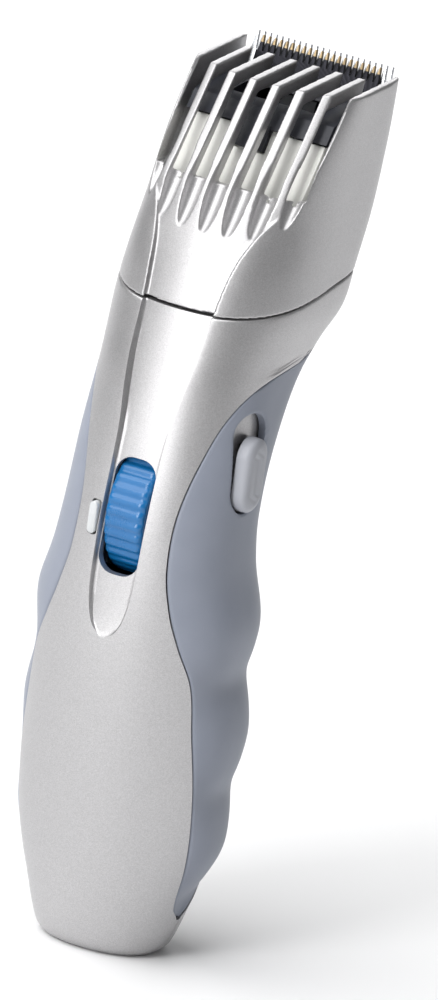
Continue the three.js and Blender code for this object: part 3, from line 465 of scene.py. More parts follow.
def rounded_box(half_a, half_b, radius, centre=(0, 0), steps=8):
    """Outline of a rectangle with round corners."""
    points = []
    for quarter, (sa, sb) in enumerate(((1, 1), (-1, 1), (-1, -1), (1, -1))):
        for k in range(steps + 1):
            turn = math.pi / 2 * (quarter + k / steps)
            points.append((
                centre[0] + sa * (half_a - radius) + radius * math.cos(turn),
                centre[1] + sb * (half_b - radius) + radius * math.sin(turn),
            ))
    return points


# %% Openings: dial window, indicator, switch stem and battery cover
SWITCH_Z = in_neck(0.51)
SWITCH_Y = -2.6
COVER_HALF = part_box("battery_cover")[1].x / MM
COVER_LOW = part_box("battery_cover")[0].z / MM
COVER_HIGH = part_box("battery_cover")[1].z / MM
WINDOW_HALF = (DIAL_WIDTH / 2 + 0.2, 10.7)
WINDOW_CORNER = 3.2
window = rounded_box(*WINDOW_HALF, WINDOW_CORNER, (0, dial_z + 0.2))
boolean(casing, extruded("window", window, "y", -40, dial_y - 3))
lens_low, lens_high = (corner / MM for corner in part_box("indicator_lens"))
lens_mid = (lens_low + lens_high) / 2
NOTCH_ROOM = 0.2
lens_half = (lens_high - lens_low) / 2
notch = rounded_box(lens_half.x + NOTCH_ROOM, lens_half.z + NOTCH_ROOM, 0.6, (lens_mid.x, lens_mid.z))
boolean(casing, extruded("notch", notch, "y", -40, lens_high.y + GAP))
stem_slot = rounded_box(1.4, 4, 0.5, (SWITCH_Y, SWITCH_Z + 1.5))
boolean(casing, extruded("stem slot", stem_slot, "x", 8, 30))
cover_opening = rounded_box(
    COVER_HALF + 0.22, (COVER_HIGH - COVER_LOW) / 2 + 0.22, 2.2, (0, (COVER_LOW + COVER_HIGH) / 2)
)
boolean(casing, extruded("opening", cover_opening, "y", 4, 40))
print("openings cut:", len(casing.data.polygons), "faces")

# %% Split into the front and the rear shell
SPLIT_Y = 0.6
COLLAR_Z = in_neck(0.87)


def rear_side(gap):
    return [(SPLIT_Y + gap, -5), (60, -5), (60, COLLAR_Z - gap), (13 + gap, COLLAR_Z - gap),
            (SPLIT_Y + gap, in_neck(0.56) - gap)]


rear_shell = casing.copy()
rear_shell.data = casing.data.copy()
rear_shell.name = "casing_rear"
bpy.context.scene.collection.objects.link(rear_shell)
boolean(rear_shell, extruded("rear", rear_side(0.12), "x", -40, 40), "INTERSECT")
boolean(casing, extruded("front", rear_side(0), "x", -40, 40))
casing.name = "casing_front"
for piece, node in ((casing, "front_shell"), (rear_shell, "rear_shell")):
    shade(piece, 32)
    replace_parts(piece, node)
    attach(piece, "casing")
    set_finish(piece, "silver")
print("front and rear:", len(casing.data.polygons), len(rear_shell.data.polygons), "faces")

# %% [markdown]
# ## Closed plates
# The grips and the battery cover are curved plates. Each is made from two grids, an outer face and an inner
# face, joined round the rim. The outer face drops in a quarter round near the rim, which catches the light like
# a moulded edge.

# %% Plate helper
def plate(name, outer, inner):
    rows, columns = outer.shape[:2]
    points = np.concatenate([outer.reshape(-1, 3), inner.reshape(-1, 3)])
    n = rows * columns
    faces = grid_faces(rows, columns, closed=False)
    faces += [tuple(n + i for i in reversed(f)) for f in faces]
    rim = [c for c in range(columns)] + [r * columns + columns - 1 for r in range(1, rows)]
    rim += [(rows - 1) * columns + c for c in range(columns - 2, -1, -1)]
    rim += [r * columns for r in range(rows - 2, 0, -1)]
    for a, b in zip(rim, rim[1:] + rim[:1]):
        faces.append((b, a, n + a, n + b))
    piece = new_piece(name, points, faces)
    fix_normals(piece)
    return piece


def quarter_round(distance, radius):
    """How far a face has dropped at a distance from its rim."""
    d = np.clip(distance, 0, radius)
    return radius - np.sqrt(radius ** 2 - (radius - d) ** 2)


def rim_spaced(count, fine=(0.0015, 0.005, 0.012, 0.025, 0.045)):
    """Shares from 0 to 1, closer together at both ends."""
    inside = np.linspace(fine[-1], 1 - fine[-1], count)
    return np.array([0, *fine[:-1], *inside, *(1 - f for f in reversed(fine[:-1])), 1])


# %% [markdown]
# ## Soft grips
# The grips are soft-touch rubber that wraps the sides and swells into three finger rests. The right grip has an
# oval recess for the slide switch. Both the swells and the recess are heights on one fine grid.

# %% Grips
WAVE_HEIGHT = 0.9
WAVE_LENGTH = 0.1 * BAY_TOP
RECESS_HALF = (4.4, 9.4)
RECESS_Z = SWITCH_Z + 1.9
VALLEY_DEPTH = 1.0


def finger_waves(z, a):
    middle_turn = (grip_front(z) + grip_rear(z)) / 2
    span = (grip_rear(z) - grip_front(z)) / 2
    fade = np.maximum(0, 1 - ((a - middle_turn) / span) ** 2)
    rise = sum(np.exp(-(((z - in_handle(p)) / WAVE_LENGTH) ** 2) * 1.6) for p in (0.34, 0.68, 1.0))
    valley = sum(np.exp(-(((z - in_handle(p)) / WAVE_LENGTH) ** 2) * 3.2) for p in (0.17, 0.51, 0.84))
    return (WAVE_HEIGHT * rise - VALLEY_DEPTH * valley) * fade


def pill_distance(y, z, half_y, half_z, at_y, at_z):
    """Distance from an upright round-ended outline, negative inside."""
    along = np.maximum(np.abs(z - at_z) - (half_z - half_y), 0)
    return np.hypot(y - at_y, along) - half_y


def grip(side, name):
    z = np.repeat((GRIP_LOW + rim_spaced(300) * (GRIP_HIGH - GRIP_LOW))[:, None], 78, axis=1)
    shares = rim_spaced(78 - 10)[None, :]
    turns = grip_front(z) + shares * (grip_rear(z) - grip_front(z))
    width = (grip_rear(z) - grip_front(z)) * 17
    from_rim = np.minimum(shares * width, (1 - shares) * width)
    from_rim = np.minimum(from_rim, np.minimum(z - GRIP_LOW, GRIP_HIGH - z))
    out = finger_waves(z, turns) - 0.7 * quarter_round(from_rim, 0.7)
    _, y = outline(z, turns)
    if side > 0:
        hole = pill_distance(y, z, *RECESS_HALF, SWITCH_Y, RECESS_Z)
        out -= 0.5 * quarter_round(np.maximum(hole, 0), 0.5)
    x, y = outline(z, turns, out)
    xi, yi = outline(z, turns, -GRIP)
    outer = np.stack([side * x, y, z], axis=2)
    inner = np.stack([side * xi, yi, z], axis=2)
    piece = plate(name, outer, inner)
    if side > 0:
        recess = rounded_box(*RECESS_HALF, RECESS_HALF[0] - 0.01, (SWITCH_Y, RECESS_Z), 14)
        boolean(piece, extruded("recess", recess, "x", 8, 30))
    shade(piece, 50)
    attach(piece, "casing")
    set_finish(piece, "grip")
    return piece


grip_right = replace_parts(grip(1, "soft_grip_right"), "grip_right")
grip_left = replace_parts(grip(-1, "soft_grip_left"), "grip_left")
print("grip faces:", len(grip_right.data.polygons))

# %% [markdown]
# ## Battery cover
# The cover closes the back of the cell bay. It follows the casing exactly, is held by a small gap all round, and
# carries a few finger ridges near its top, so a thumb can push it off.

# %% Battery cover
RIDGES = 6
RIDGE_PITCH = 1.9
RIDGE_DEPTH = 0.35


def cover():
    x = np.repeat((COVER_HALF * (2 * rim_spaced(40) - 1))[None, :], 160, axis=0)
    z = np.repeat((COVER_LOW + rim_spaced(150) * (COVER_HIGH - COVER_LOW))[:, None], x.shape[1], axis=1)
    corner = 2.0
    dx = np.maximum(np.abs(x) - (COVER_HALF - corner), 0)
    middle_z, half_z = (COVER_LOW + COVER_HIGH) / 2, (COVER_HIGH - COVER_LOW) / 2
    dz = np.maximum(np.abs(z - middle_z) - (half_z - corner), 0)
    pull = np.minimum(1, corner / np.maximum(np.hypot(dx, dz), 1e-6))
    x = np.sign(x) * (np.minimum(np.abs(x), COVER_HALF - corner) + dx * pull)
    z = middle_z + np.sign(z - middle_z) * (np.minimum(np.abs(z - middle_z), half_z - corner) + dz * pull)
    from_rim = np.minimum(COVER_HALF - np.abs(x), half_z - np.abs(z - middle_z))
    share = np.clip(np.abs(x) / half_width(z), 0, 1)
    turns = np.arccos(share ** (back_power(z) / 2))
    _, y = plain_outline(z, turns)
    wave = np.cos((z - COVER_HIGH + 8) * 2 * math.pi / RIDGE_PITCH)
    patch = smooth((6.2 - np.abs(x)) / 0.8)
    patch = patch * smooth((RIDGES * RIDGE_PITCH / 2 - np.abs(z - COVER_HIGH + 11)) / 0.4)
    sink = 0.45 * quarter_round(from_rim, 0.45) + RIDGE_DEPTH * patch * (0.5 - 0.5 * wave)
    outer = np.stack([x, y - sink, z], axis=2)
    inner = np.stack([x, y - WALL, z], axis=2)
    piece = plate("bay_cover", outer, inner)
    return shade(piece, 50)


bay_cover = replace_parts(cover(), "battery_cover")
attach(bay_cover, "cover")
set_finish(bay_cover, "silver")
print("cover faces:", len(bay_cover.data.polygons))

# %% [markdown]
# ## Comb
# The comb is one thin moulding: a shell that carries on the casing's outline, a recessed face between two crisp
# edges, six tines that bend over the top, and a long round hollow below each slot. The shape is cut from fine
# solids first. A voxel remesh then gives an even skin, and a little smoothing rounds every edge at once, which
# no bevel could do over so many crossing cuts.

# %% Solids for the comb
COMB_WALL = 1.5
TINES = 6
TINE_PITCH = 4.69
TINE_WIDTH = 1.7
TINE_DEPTH = 2.6
SLOT_LOW = in_head(0.53)
SIDE_INNER = HEAD_HALF - 1.6 - COMB_WALL
BLADE_FRONT = 14.0
turned_axis = Vector((0, math.sin(LEAN), math.cos(LEAN)))


def top_at(y):
    return TOP_Z - 1.5 + (y - 15) * 0.064


def leaned(points):
    """Head-frame points (x, v, w) as body points; w runs up the lean and v to the back."""
    c, s = math.cos(LEAN), math.sin(LEAN)
    return [(x, HEAD_Y + v * c + w * s, HEAD_Z - v * s + w * c) for x, v, w in points]


def stack(name, rings):
    """A closed solid from rings that run from the lowest up."""
    rings = np.asarray(rings, float)
    count = rings.shape[1]
    faces = grid_faces(len(rings), count, closed=True)
    faces.append(tuple(range(count))[::-1])
    faces.append(tuple(range((len(rings) - 1) * count, len(rings) * count)))
    piece = new_piece(name, rings.reshape(-1, 3), faces)
    fix_normals(piece)
    return piece


def outline_core(name, levels, out, around=144):
    turns = np.linspace(0, 2 * math.pi, around, endpoint=False)
    rings = []
    for z in levels:
        x, y = outline(np.full(around, z), turns, out)
        rings.append(np.stack([x, y, np.full(around, z)], axis=1))
    return stack(name, rings)


def leaned_block(name, x0, x1, v0, v1, w0, w1):
    points = leaned([(x, v, w) for x in (x0, x1) for v in (v0, v1) for w in (w0, w1)])
    faces = [(0, 1, 3, 2), (4, 6, 7, 5), (0, 4, 5, 1), (2, 3, 7, 6), (0, 2, 6, 4), (1, 5, 7, 3)]
    piece = new_piece(name, points, faces)
    fix_normals(piece)
    return piece


def groove_solid(name, levels, deeper=0.0):
    """Everything in front of the groove's floor; deeper moves the floor back and its sides out."""
    rings = []
    for z in levels:
        w = float(groove_half(z)) + deeper * 0.5
        across_floor = np.linspace(w, -w, 25)
        floor = [(x, float(groove_floor(z) + groove_curve(z) * x * x) + deeper, z) for x in across_floor]
        rings.append([(-w, -40, z), (w, -40, z)] + floor)
    return stack(name, rings)


# %% Comb shell, cut from the outline
comb_levels = np.arange(SEAM_Z - 4, TOP_Z + 1.5, 0.9)
comb = outline_core("height_comb", comb_levels, 0)
boolean(comb, extruded("over", [(-60, top_at(-60)), (80, top_at(80)), (80, 300), (-60, 300)], "x", -40, 40))
boolean(comb, extruded("seam", [(-60, seam_at(-60) + GAP / 2), (-60, 0), (80, 0), (80, seam_at(80) + GAP / 2)],
                       "x", -40, 40))
boolean(comb, groove_solid("recess", np.arange(SEAM_Z - 6, TOP_Z + 4, 1.0)))


def front_wall(z):
    return float(groove_floor(z)) + (COMB_WALL if z < SLOT_LOW - 2 else TINE_DEPTH + 0.6)


cavity_levels = (in_head(0.7), SLOT_LOW, SLOT_LOW - 2.1, in_head(0.2), SEAM_Z, SEAM_Z - 6)
cavity_top = top_at(0) - TINE_DEPTH
bend_y = float(groove_floor(cavity_top)) + TINE_DEPTH + 1.2
cavity_profile = [(front_wall(z), z) for z in cavity_levels] + [
    (90, SEAM_Z - 6), (90, top_at(90) - TINE_DEPTH), (bend_y, top_at(bend_y) - TINE_DEPTH),
]
cavity = outline_core("cavity", np.arange(SEAM_Z - 6, in_head(1.1), 1.0), -COMB_WALL)
boolean(cavity, extruded("limit", cavity_profile, "x", -40, 40), "INTERSECT")
boolean(cavity, groove_solid("behind", np.arange(SEAM_Z - 7, SLOT_LOW + 0.2, 1.0), 2.3))
boolean(comb, cavity)
boolean(comb, leaned_block("rear", -SIDE_INNER, SIDE_INNER, 9, 60, 11, 70))
boolean(comb, leaned_block("blades", -SIDE_INNER, SIDE_INNER, BLADE_FRONT - 0.4, 60, 14, 70))
print("comb shell:", len(comb.data.polygons), "faces")

# %% Slots, hollows and top facets of the comb
slot_half = (TINE_PITCH - TINE_WIDTH) / 2


def hollow(centre, axis, half_width_x, half_depth, half_length, around=28, along=24):
    """A long round-ended solid about an axis in the y-z plane."""
    axis = Vector(axis).normalized()
    depth = Vector((0, axis.z, -axis.y))
    rings = []
    for t in np.linspace(-0.995, 0.995, along):
        swell = math.sqrt(1 - t * t)
        at = Vector(centre) + axis * (half_length * t)
        ring = []
        for k in range(around):
            a = 2 * math.pi * k / around
            across_x = Vector((half_width_x * swell * math.cos(a), 0, 0))
            ring.append(tuple(at + across_x + depth * (half_depth * swell * math.sin(a))))
        rings.append(ring)
    return stack("hollow", rings)


HOLLOW_DEPTH = 1.7
HOLLOW_LENGTH = 10.0
HOLLOW_SPREAD = 0.3
for i in range(TINES + 1):
    x = (i - TINES / 2) * TINE_PITCH
    low, high = max(x - slot_half, -SIDE_INNER), min(x + slot_half, SIDE_INNER)
    boolean(comb, extruded("slot", [(low, SLOT_LOW), (high, SLOT_LOW), (high, 300), (low, 300)], "y", -40, 60))
    middle = (low + high) / 2
    centre_z = SLOT_LOW + 0.6 + (1.0 if abs(x) > 12 else 0) + 0.008 * x * x
    below_z = centre_z - HOLLOW_LENGTH
    sag = float(groove_curve(centre_z)) * middle * middle
    face = float(groove_floor(centre_z)) + sag
    axis = (0, face - float(groove_floor(below_z)) - sag + 0.5, HOLLOW_LENGTH)
    spread = (high - low) / 2 + HOLLOW_SPREAD
    boolean(comb, hollow((middle, face, centre_z), axis, spread, HOLLOW_DEPTH, HOLLOW_LENGTH))
FACET_FALLS = ((8, 0.5), (42, 0.1))  # (y, inward step for each millimetre of height)
for side in (1, -1):
    rings = []
    for y, fall in FACET_FALLS:
        inner_x, outer_x = SIDE_INNER + 0.5, HEAD_HALF + 1
        low_z = TOP_Z - (outer_x - inner_x) / fall
        edge = [(inner_x - 2 * fall, TOP_Z + 2), (outer_x, TOP_Z + 2), (outer_x, low_z)]
        rings.append([(side * a, y, b) for a, b in edge])
    boolean(comb, stack("facet", rings))
print("comb with slots:", len(comb.data.polygons), "faces")

# %% Feet that clip onto the carrier, then an even rounded skin
TAB = {"v0": 4.6, "v1": 8.6, "w0": -0.9, "w1": 1.8}
for side in (1, -1):
    for x0, x1, w0 in ((14.9, 15.9, TAB["w0"] - 0.3), (14.9, 17.4, 8.3)):
        ends = sorted((side * x0, side * x1))
        boolean(comb, leaned_block("foot", *ends, 2.6, 10.6, w0, 11.3), "UNION")
    ends = sorted((side * 14, side * 18))
    boolean(comb, leaned_block("catch", *ends, TAB["v0"] - GAP, TAB["v1"] + GAP,
                               TAB["w0"] - 1, TAB["w1"] + GAP))

VOXEL = 0.2
SMOOTHING = 9
COMB_TRIANGLES = 110000
remesh = comb.modifiers.new("skin", "REMESH")
remesh.mode = "VOXEL"
remesh.voxel_size = VOXEL * MM
soften = comb.modifiers.new("soften", "SMOOTH")
soften.factor = 0.5
soften.iterations = SMOOTHING
apply(comb)
print("comb skin:", len(comb.data.polygons), "faces")
thin_out = comb.modifiers.new("thin out", "DECIMATE")
thin_out.ratio = min(1.0, COMB_TRIANGLES / len(comb.data.polygons) / 2)
apply(comb)
shade(comb, 60)
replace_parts(comb, "comb")
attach(comb, "comb")
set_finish(comb, "silver")
print("comb:", len(comb.data.polygons), "faces")

# %% [markdown]
# ## Comb dial
# The dial is a moulded wheel that the thumb rolls. It has soft ribs across its rim and wide shoulders. A lathe
# would give the wheel, but the ribs vary round it, so the wheel is a grid of profile points by turns, with the
# ribs as small changes of radius.

# %% Dial
RIBS = 36
RIB_DEPTH = 0.3
AXLE_HOLE = 1.8


def dial_wheel():
    half = DIAL_WIDTH / 2
    shoulder = 1.1
    bend = np.linspace(0, math.pi / 2, 7)
    profile = [(AXLE_HOLE, -half), (DIAL_RADIUS - 4.2, -half), (DIAL_RADIUS - 3.6, -half)]
    inside = DIAL_RADIUS - shoulder
    profile += [(inside + shoulder * math.sin(b), -half + shoulder * (1 - math.cos(b))) for b in bend]
    profile += [(DIAL_RADIUS, x) for x in np.linspace(-half + shoulder + 0.3, half - shoulder - 0.3, 7)]
    profile += [(inside + shoulder * math.cos(b), half - shoulder * (1 - math.sin(b))) for b in bend]
    profile += [(DIAL_RADIUS - 3.6, half), (DIAL_RADIUS - 4.2, half), (AXLE_HOLE, half)]
    profile = np.array(profile)
    turns = np.linspace(0, 2 * math.pi, RIBS * 10, endpoint=False)
    valley = (0.5 + 0.5 * np.cos(RIBS * turns)) ** 1.6
    on_rim = smooth((profile[:, 0] - (DIAL_RADIUS - 1.3)) / 1.3)
    radius = profile[:, 0][:, None] - RIB_DEPTH * valley[None, :] * on_rim[:, None]
    x = np.repeat(profile[:, 1][:, None], len(turns), axis=1)
    points = np.stack([x, dial_y + radius * np.cos(turns), dial_z + radius * np.sin(turns)], axis=2)
    rows = len(profile)
    faces = grid_faces(rows, len(turns), closed=True)
    last = (rows - 1) * len(turns)
    faces += [(last + k, last + (k + 1) % len(turns), (k + 1) % len(turns), k) for k in range(len(turns))]
    piece = new_piece("thumb_dial", points.reshape(-1, 3), faces)
    fix_normals(piece)
    return shade(piece, 50)


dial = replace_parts(dial_wheel(), "comb_dial")
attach(dial, "dial")
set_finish(dial, "dial")
print("dial:", len(dial.data.polygons), "faces")

# %% Setting window: a small clear nub beside the dial
def pill_stack(name, levels, half_a, half_b, centre, place, steps=14):
    """Round-ended outlines stacked along x; levels hold (x, inset), place turns (x, a, b) into a point."""
    rings = []
    for x, inset in levels:
        radius = half_a - inset
        straight = half_b - half_a
        ring = []
        for sign, base in ((1, 0), (-1, math.pi)):
            for k in range(steps + 1):
                t = base + math.pi * k / steps
                ring.append(place(x, centre[0] + radius * math.cos(t),
                                  centre[1] + sign * straight + radius * math.sin(t)))
        rings.append(ring)
    return stack(name, rings)


nub_levels = [(lens_high.y, 0)]
nub_levels += [(lens_low.y + rise, inset) for rise, inset in ((0.35, 0), (0.17, 0.05), (0.05, 0.16), (0, 0.32))]
nub = pill_stack("setting_window", nub_levels, lens_half.x, lens_half.z, (lens_mid.x, lens_mid.z),
                 lambda d, a, b: (a, d, b))
shade(nub, 40)
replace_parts(nub, "indicator_lens")
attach(nub, "casing")
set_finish(nub, "clear")
print("nub:", len(nub.data.polygons), "faces")

# %% [markdown]
# ## Slide switch
# The switch is a round-ended button with a raised, slightly crowned face and faint diagonal ribs for the thumb.
# Its outlines are stacked from the stem outwards. The stem goes through the grip to the slider inside.

# %% Switch button
BUTTON_HALF = (3.7, 7.0)
SIDE_X = float(half_width(SWITCH_Z))
button_base = SIDE_X - GRIP + 0.2
button_face = SIDE_X + 1.7
levels = [(button_base, 0.1), (button_base + 0.2, 0), (SIDE_X + 0.5, 0.05), (SIDE_X + 0.95, 0.14)]
levels += [(button_face - 0.42, 0.45), (button_face - 0.18, 0.85), (button_face - 0.05, 1.25)]
levels += [(button_face, inset) for inset in (1.6, 2.0, 2.4, 2.8, 3.2, 3.45)]
button = pill_stack("power_button", levels, *BUTTON_HALF, (SWITCH_Y, SWITCH_Z), lambda d, a, b: (d, a, b), 24)
for vertex in button.data.vertices:
    x, y, z = (c / MM for c in vertex.co)
    if x > button_face - 0.1:
        rib = 0.5 + 0.5 * math.cos(((z - SWITCH_Z) + 0.55 * (y - SWITCH_Y)) * 2 * math.pi / 1.5)
        inside = smooth((2.9 - max(abs(z - SWITCH_Z) - 3.3, 0) - abs(y - SWITCH_Y)) / 0.8)
        vertex.co.x -= 0.16 * rib * float(inside) * MM
stem = extruded("stem", rounded_box(1.1, 2.1, 0.3, (SWITCH_Y, SWITCH_Z)), "x", SIDE_X - 5, button_base + 0.4)
boolean(button, stem, "UNION")
shade(button, 40)
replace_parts(button, "switch_button")
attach(button, "switch")
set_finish(button, "button")
print("button:", len(button.data.polygons), "faces")

# %% [markdown]
# ## Cutter and inner parts
# The mechanical solids of the cutter, the motor and the battery bay already have the right shape, but their
# edges are razor sharp and their round faces are flat-sided. Each is copied from the frame, its doubled
# vertices are merged, and a small bevel rounds its edges.

# %% Rounded copies of the mechanical parts
def refined(node, name, body, slot, rounding=0.15, angle=35):
    piece = frame["nodes"][node].copy()
    piece.data = frame["nodes"][node].data.copy()
    piece.name = name
    piece.parent = None
    piece.matrix_world = Matrix.Identity(4)
    bpy.context.scene.collection.objects.link(piece)
    for key in list(piece.keys()):
        del piece[key]
    mesh = bmesh.new()
    mesh.from_mesh(piece.data)
    bmesh.ops.remove_doubles(mesh, verts=mesh.verts, dist=1e-7)
    bmesh.ops.dissolve_limit(mesh, angle_limit=math.radians(1), verts=mesh.verts, edges=mesh.edges)
    mesh.to_mesh(piece.data)
    mesh.free()
    round_edges(piece, rounding, 2, angle)
    shade(piece, 30)
    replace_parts(piece, node)
    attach(piece, body)
    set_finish(piece, slot)
    return piece


HIDDEN_PARTS = [
    # node, name, body, slot, rounding
    ("blade_housing", "cutter_housing", "casing", "black", 0.3),
    ("inner_head", "inner_head_cover", "casing", "white", 0.3),
    ("fixed_blade", "guard_blade", "casing", "steel", 0.06),
    ("moving_blade", "cutting_blade", "cutter", "brass", 0.06),
    ("cell_left", "battery_left", "casing", "cell", 0.3),
    ("cell_right", "battery_right", "casing", "cell", 0.3),
    ("motor_can", "motor_body", "casing", "steel", 0.3),
    ("motor_cap", "motor_end", "casing", "white", 0.2),
    ("comb_carrier", "comb_rack", "carrier", "white", 0.1),
    ("drive_lever", "rocking_lever", "lever", "white", 0.2),
    ("contact_spring", "cell_spring", "casing", "steel", 0.2),
]
for node, name, body, finish_slot, rounding in HIDDEN_PARTS:
    refined(node, name, body, finish_slot, rounding)
print("refined parts:", len(HIDDEN_PARTS))

# %% [markdown]
# ## Finishes
# Each finish is a node material worked out from its position on the piece, so it needs no picture. The maths is
# written as plain Python: a small class wraps a socket, and its operators add Math nodes. Every other node comes
# from one method that takes the node's type, its settings and its inputs.

# %% Sockets as values
class Wire:
    """A shader socket that can be used in sums and products."""

    def __init__(self, finish, socket):
        self.finish = finish
        self.socket = socket

    def maths(self, operation, first, second):
        return self.finish.node("ShaderNodeMath", {"operation": operation}, {0: first, 1: second})

    def __add__(self, other):
        return self.maths("ADD", self, other)

    def __radd__(self, other):
        return self.maths("ADD", other, self)

    def __sub__(self, other):
        return self.maths("SUBTRACT", self, other)

    def __mul__(self, other):
        return self.maths("MULTIPLY", self, other)

    def __rmul__(self, other):
        return self.maths("MULTIPLY", other, self)


class Finish:
    """A material and the nodes that make it."""

    def __init__(self, name):
        self.material = bpy.data.materials.new(name)
        self.material.use_nodes = True
        self.tree = self.material.node_tree
        self.shader = self.tree.nodes["Principled BSDF"]

    def node(self, kind, settings=None, sockets=None, output=0):
        node = self.tree.nodes.new(kind)
        for name, value in (settings or {}).items():
            setattr(node, name, value)
        for name, value in (sockets or {}).items():
            self.feed(node.inputs[name], value)
        return Wire(self, node.outputs[output])

    def feed(self, socket, value):
        if isinstance(value, Wire):
            self.tree.links.new(value.socket, socket)
        else:
            socket.default_value = value

    def set(self, **sockets):
        for name, value in sockets.items():
            self.feed(self.shader.inputs[name.replace("_", " ")], value)

    def place(self):
        """Position on the piece, in metres."""
        return self.node("ShaderNodeTexCoord", output=3)

    def noise(self, size, detail=2.0, place=None):
        """Soft noise from 0 to 1 with lumps of about this size, in millimetres."""
        sockets = {"Vector": place or self.place(), "Scale": 1 / (size * MM), "Detail": detail}
        return self.node("ShaderNodeTexNoise", {}, sockets)

    def grains(self, size):
        """Flat random grains of this size, in millimetres, from 0 to 1."""
        sockets = {"Vector": self.place(), "Scale": 1 / (size * MM)}
        colour = self.node("ShaderNodeTexVoronoi", {}, sockets, output=1)
        return self.node("ShaderNodeSeparateColor", {}, {0: colour})

    def blend(self, share, first, second):
        """A colour between two colours."""
        return self.node(
            "ShaderNodeMix", {"data_type": "RGBA"}, {0: share, 6: first, 7: second}, output=2
        )

    def bump(self, height, depth):
        """A normal from a height of 0 to 1 that stands for this depth, in millimetres."""
        return self.node("ShaderNodeBump", {}, {"Height": height, "Distance": depth * MM, "Strength": 1.0})


def tone(red, green, blue):
    """A display colour from 0 to 255 as the linear values a shader takes."""
    def linear(c):
        c /= 255
        return c / 12.92 if c <= 0.04045 else ((c + 0.055) / 1.055) ** 2.4
    return (linear(red), linear(green), linear(blue), 1.0)


print("finish helpers ready")

# %% [markdown]
# ## Silver casing
# The casing is sprayed with a fine aluminium paint under a thin clear coat. Single flakes catch the light, so
# the colour changes from grain to grain and the surface sparkles slightly. Handling leaves the coat a little
# duller in patches.

# %% Silver paint
def silver_paint():
    paint = Finish("silver paint")
    flakes = paint.grains(0.11)
    patches = paint.noise(9, 3)
    colour = paint.blend(flakes, tone(174, 173, 174), tone(197, 196, 197))
    paint.set(
        Base_Color=colour,
        Metallic=0.8,
        Roughness=0.34 + 0.08 * patches + 0.06 * flakes,
        Normal=paint.bump(flakes * 0.7 + 0.3 * paint.noise(0.3), 0.0022),
        Coat_Weight=0.15,
        Coat_Roughness=0.2,
    )
    return paint.material


# %% [markdown]
# ## Soft grip
# The grips are a blue-grey rubber with a very fine matt grain. The grain scatters light, so highlights are
# broad and weak, and a little dust and skin oil makes some patches smoother.

# %% Grip rubber
def grip_rubber():
    rubber = Finish("grip rubber")
    grain = rubber.noise(0.22, 2)
    patches = rubber.noise(7, 3)
    rubber.set(
        Base_Color=rubber.blend(patches, tone(132, 138, 151), tone(143, 148, 161)),
        Roughness=0.42 + 0.12 * patches,
        Normal=rubber.bump(grain, 0.02),
    )
    rubber.shader.inputs["Specular IOR Level"].default_value = 0.4
    rubber.shader.inputs["Sheen Weight"].default_value = 0.12
    return rubber.material


# %% [markdown]
# ## Plain plastics
# The other mouldings are plain plastics: satin grey for the switch, glossy blue for the dial, matt black for
# the cutter housing and natural white inside. Each has a fine spark-eroded grain, slow changes of tint, and its
# own gloss.

# %% Moulded plastic
def moulded(name, dark, light, roughness, grain_size, grain_depth, coat=0.0):
    plastic = Finish(name)
    patches = plastic.noise(6, 3)
    grain = plastic.noise(grain_size, 2)
    plastic.set(
        Base_Color=plastic.blend(patches, dark, light),
        Roughness=roughness + 0.12 * (patches - 0.5) + 0.06 * grain,
        Normal=plastic.bump(grain, grain_depth),
        Coat_Weight=coat,
        Coat_Roughness=0.08,
    )
    return plastic.material


# %% [markdown]
# ## Metals
# The cutter plates are ground steel, so fine straight scratches run along them. The cutting blade has a gold
# nitride coating on its teeth; below the teeth it is painted near-black as painted shade. Scratches are noise
# stretched a hundred times in one direction.

# %% Ground metal
def ground(name, dark, light, roughness, painted_shade_top=None):
    metal = Finish(name)
    stretch = metal.node(
        "ShaderNodeVectorMath", {"operation": "MULTIPLY"}, {0: metal.place(), 1: (0.02, 1, 1)}
    )
    scratches = metal.noise(0.12, 3, stretch)
    patches = metal.noise(3, 3)
    colour = metal.blend(patches, dark, light)
    # Painted shade: below the level where its teeth start, the blade is coloured near-black.
    if painted_shade_top is not None:
        vectors = {0: metal.place(), 1: turned_axis}
        along = metal.node("ShaderNodeVectorMath", {"operation": "DOT_PRODUCT"}, vectors, 1)
        teeth = metal.node("ShaderNodeMath", {"operation": "GREATER_THAN"}, {0: along, 1: painted_shade_top * MM})
        colour = metal.blend(teeth, tone(40, 40, 44), colour)
    metal.set(
        Base_Color=colour,
        Metallic=1.0,
        Roughness=roughness + 0.18 * scratches,
        Normal=metal.bump(scratches, 0.008),
    )
    return metal.material


# %% Clear nub and printed cell sleeve
def clear_nub():
    clear = Finish("clear nub")
    clear.set(
        Base_Color=clear.blend(clear.noise(1.5), tone(226, 230, 232), tone(244, 246, 247)),
        Roughness=0.05 + 0.05 * clear.noise(2),
        Normal=clear.bump(clear.noise(1.2), 0.03),
    )
    clear.shader.inputs["Transmission Weight"].default_value = 0.3
    clear.shader.inputs["IOR"].default_value = 1.49
    return clear.material


def cell_sleeve():
    sleeve = Finish("cell sleeve")
    height = sleeve.node("ShaderNodeSeparateXYZ", {}, {0: sleeve.place()}, output=2)
    band = sleeve.node("ShaderNodeMath", {"operation": "GREATER_THAN"}, {0: height, 1: (BAY_TOP - 14) * MM})
    colour = sleeve.blend(band, tone(46, 92, 66), tone(196, 170, 92))
    sleeve.set(
        Base_Color=colour,
        Metallic=0.2 + 0.5 * band,
        Roughness=0.28 + 0.1 * sleeve.noise(4),
        Normal=sleeve.bump(sleeve.noise(0.8), 0.01),
    )
    return sleeve.material


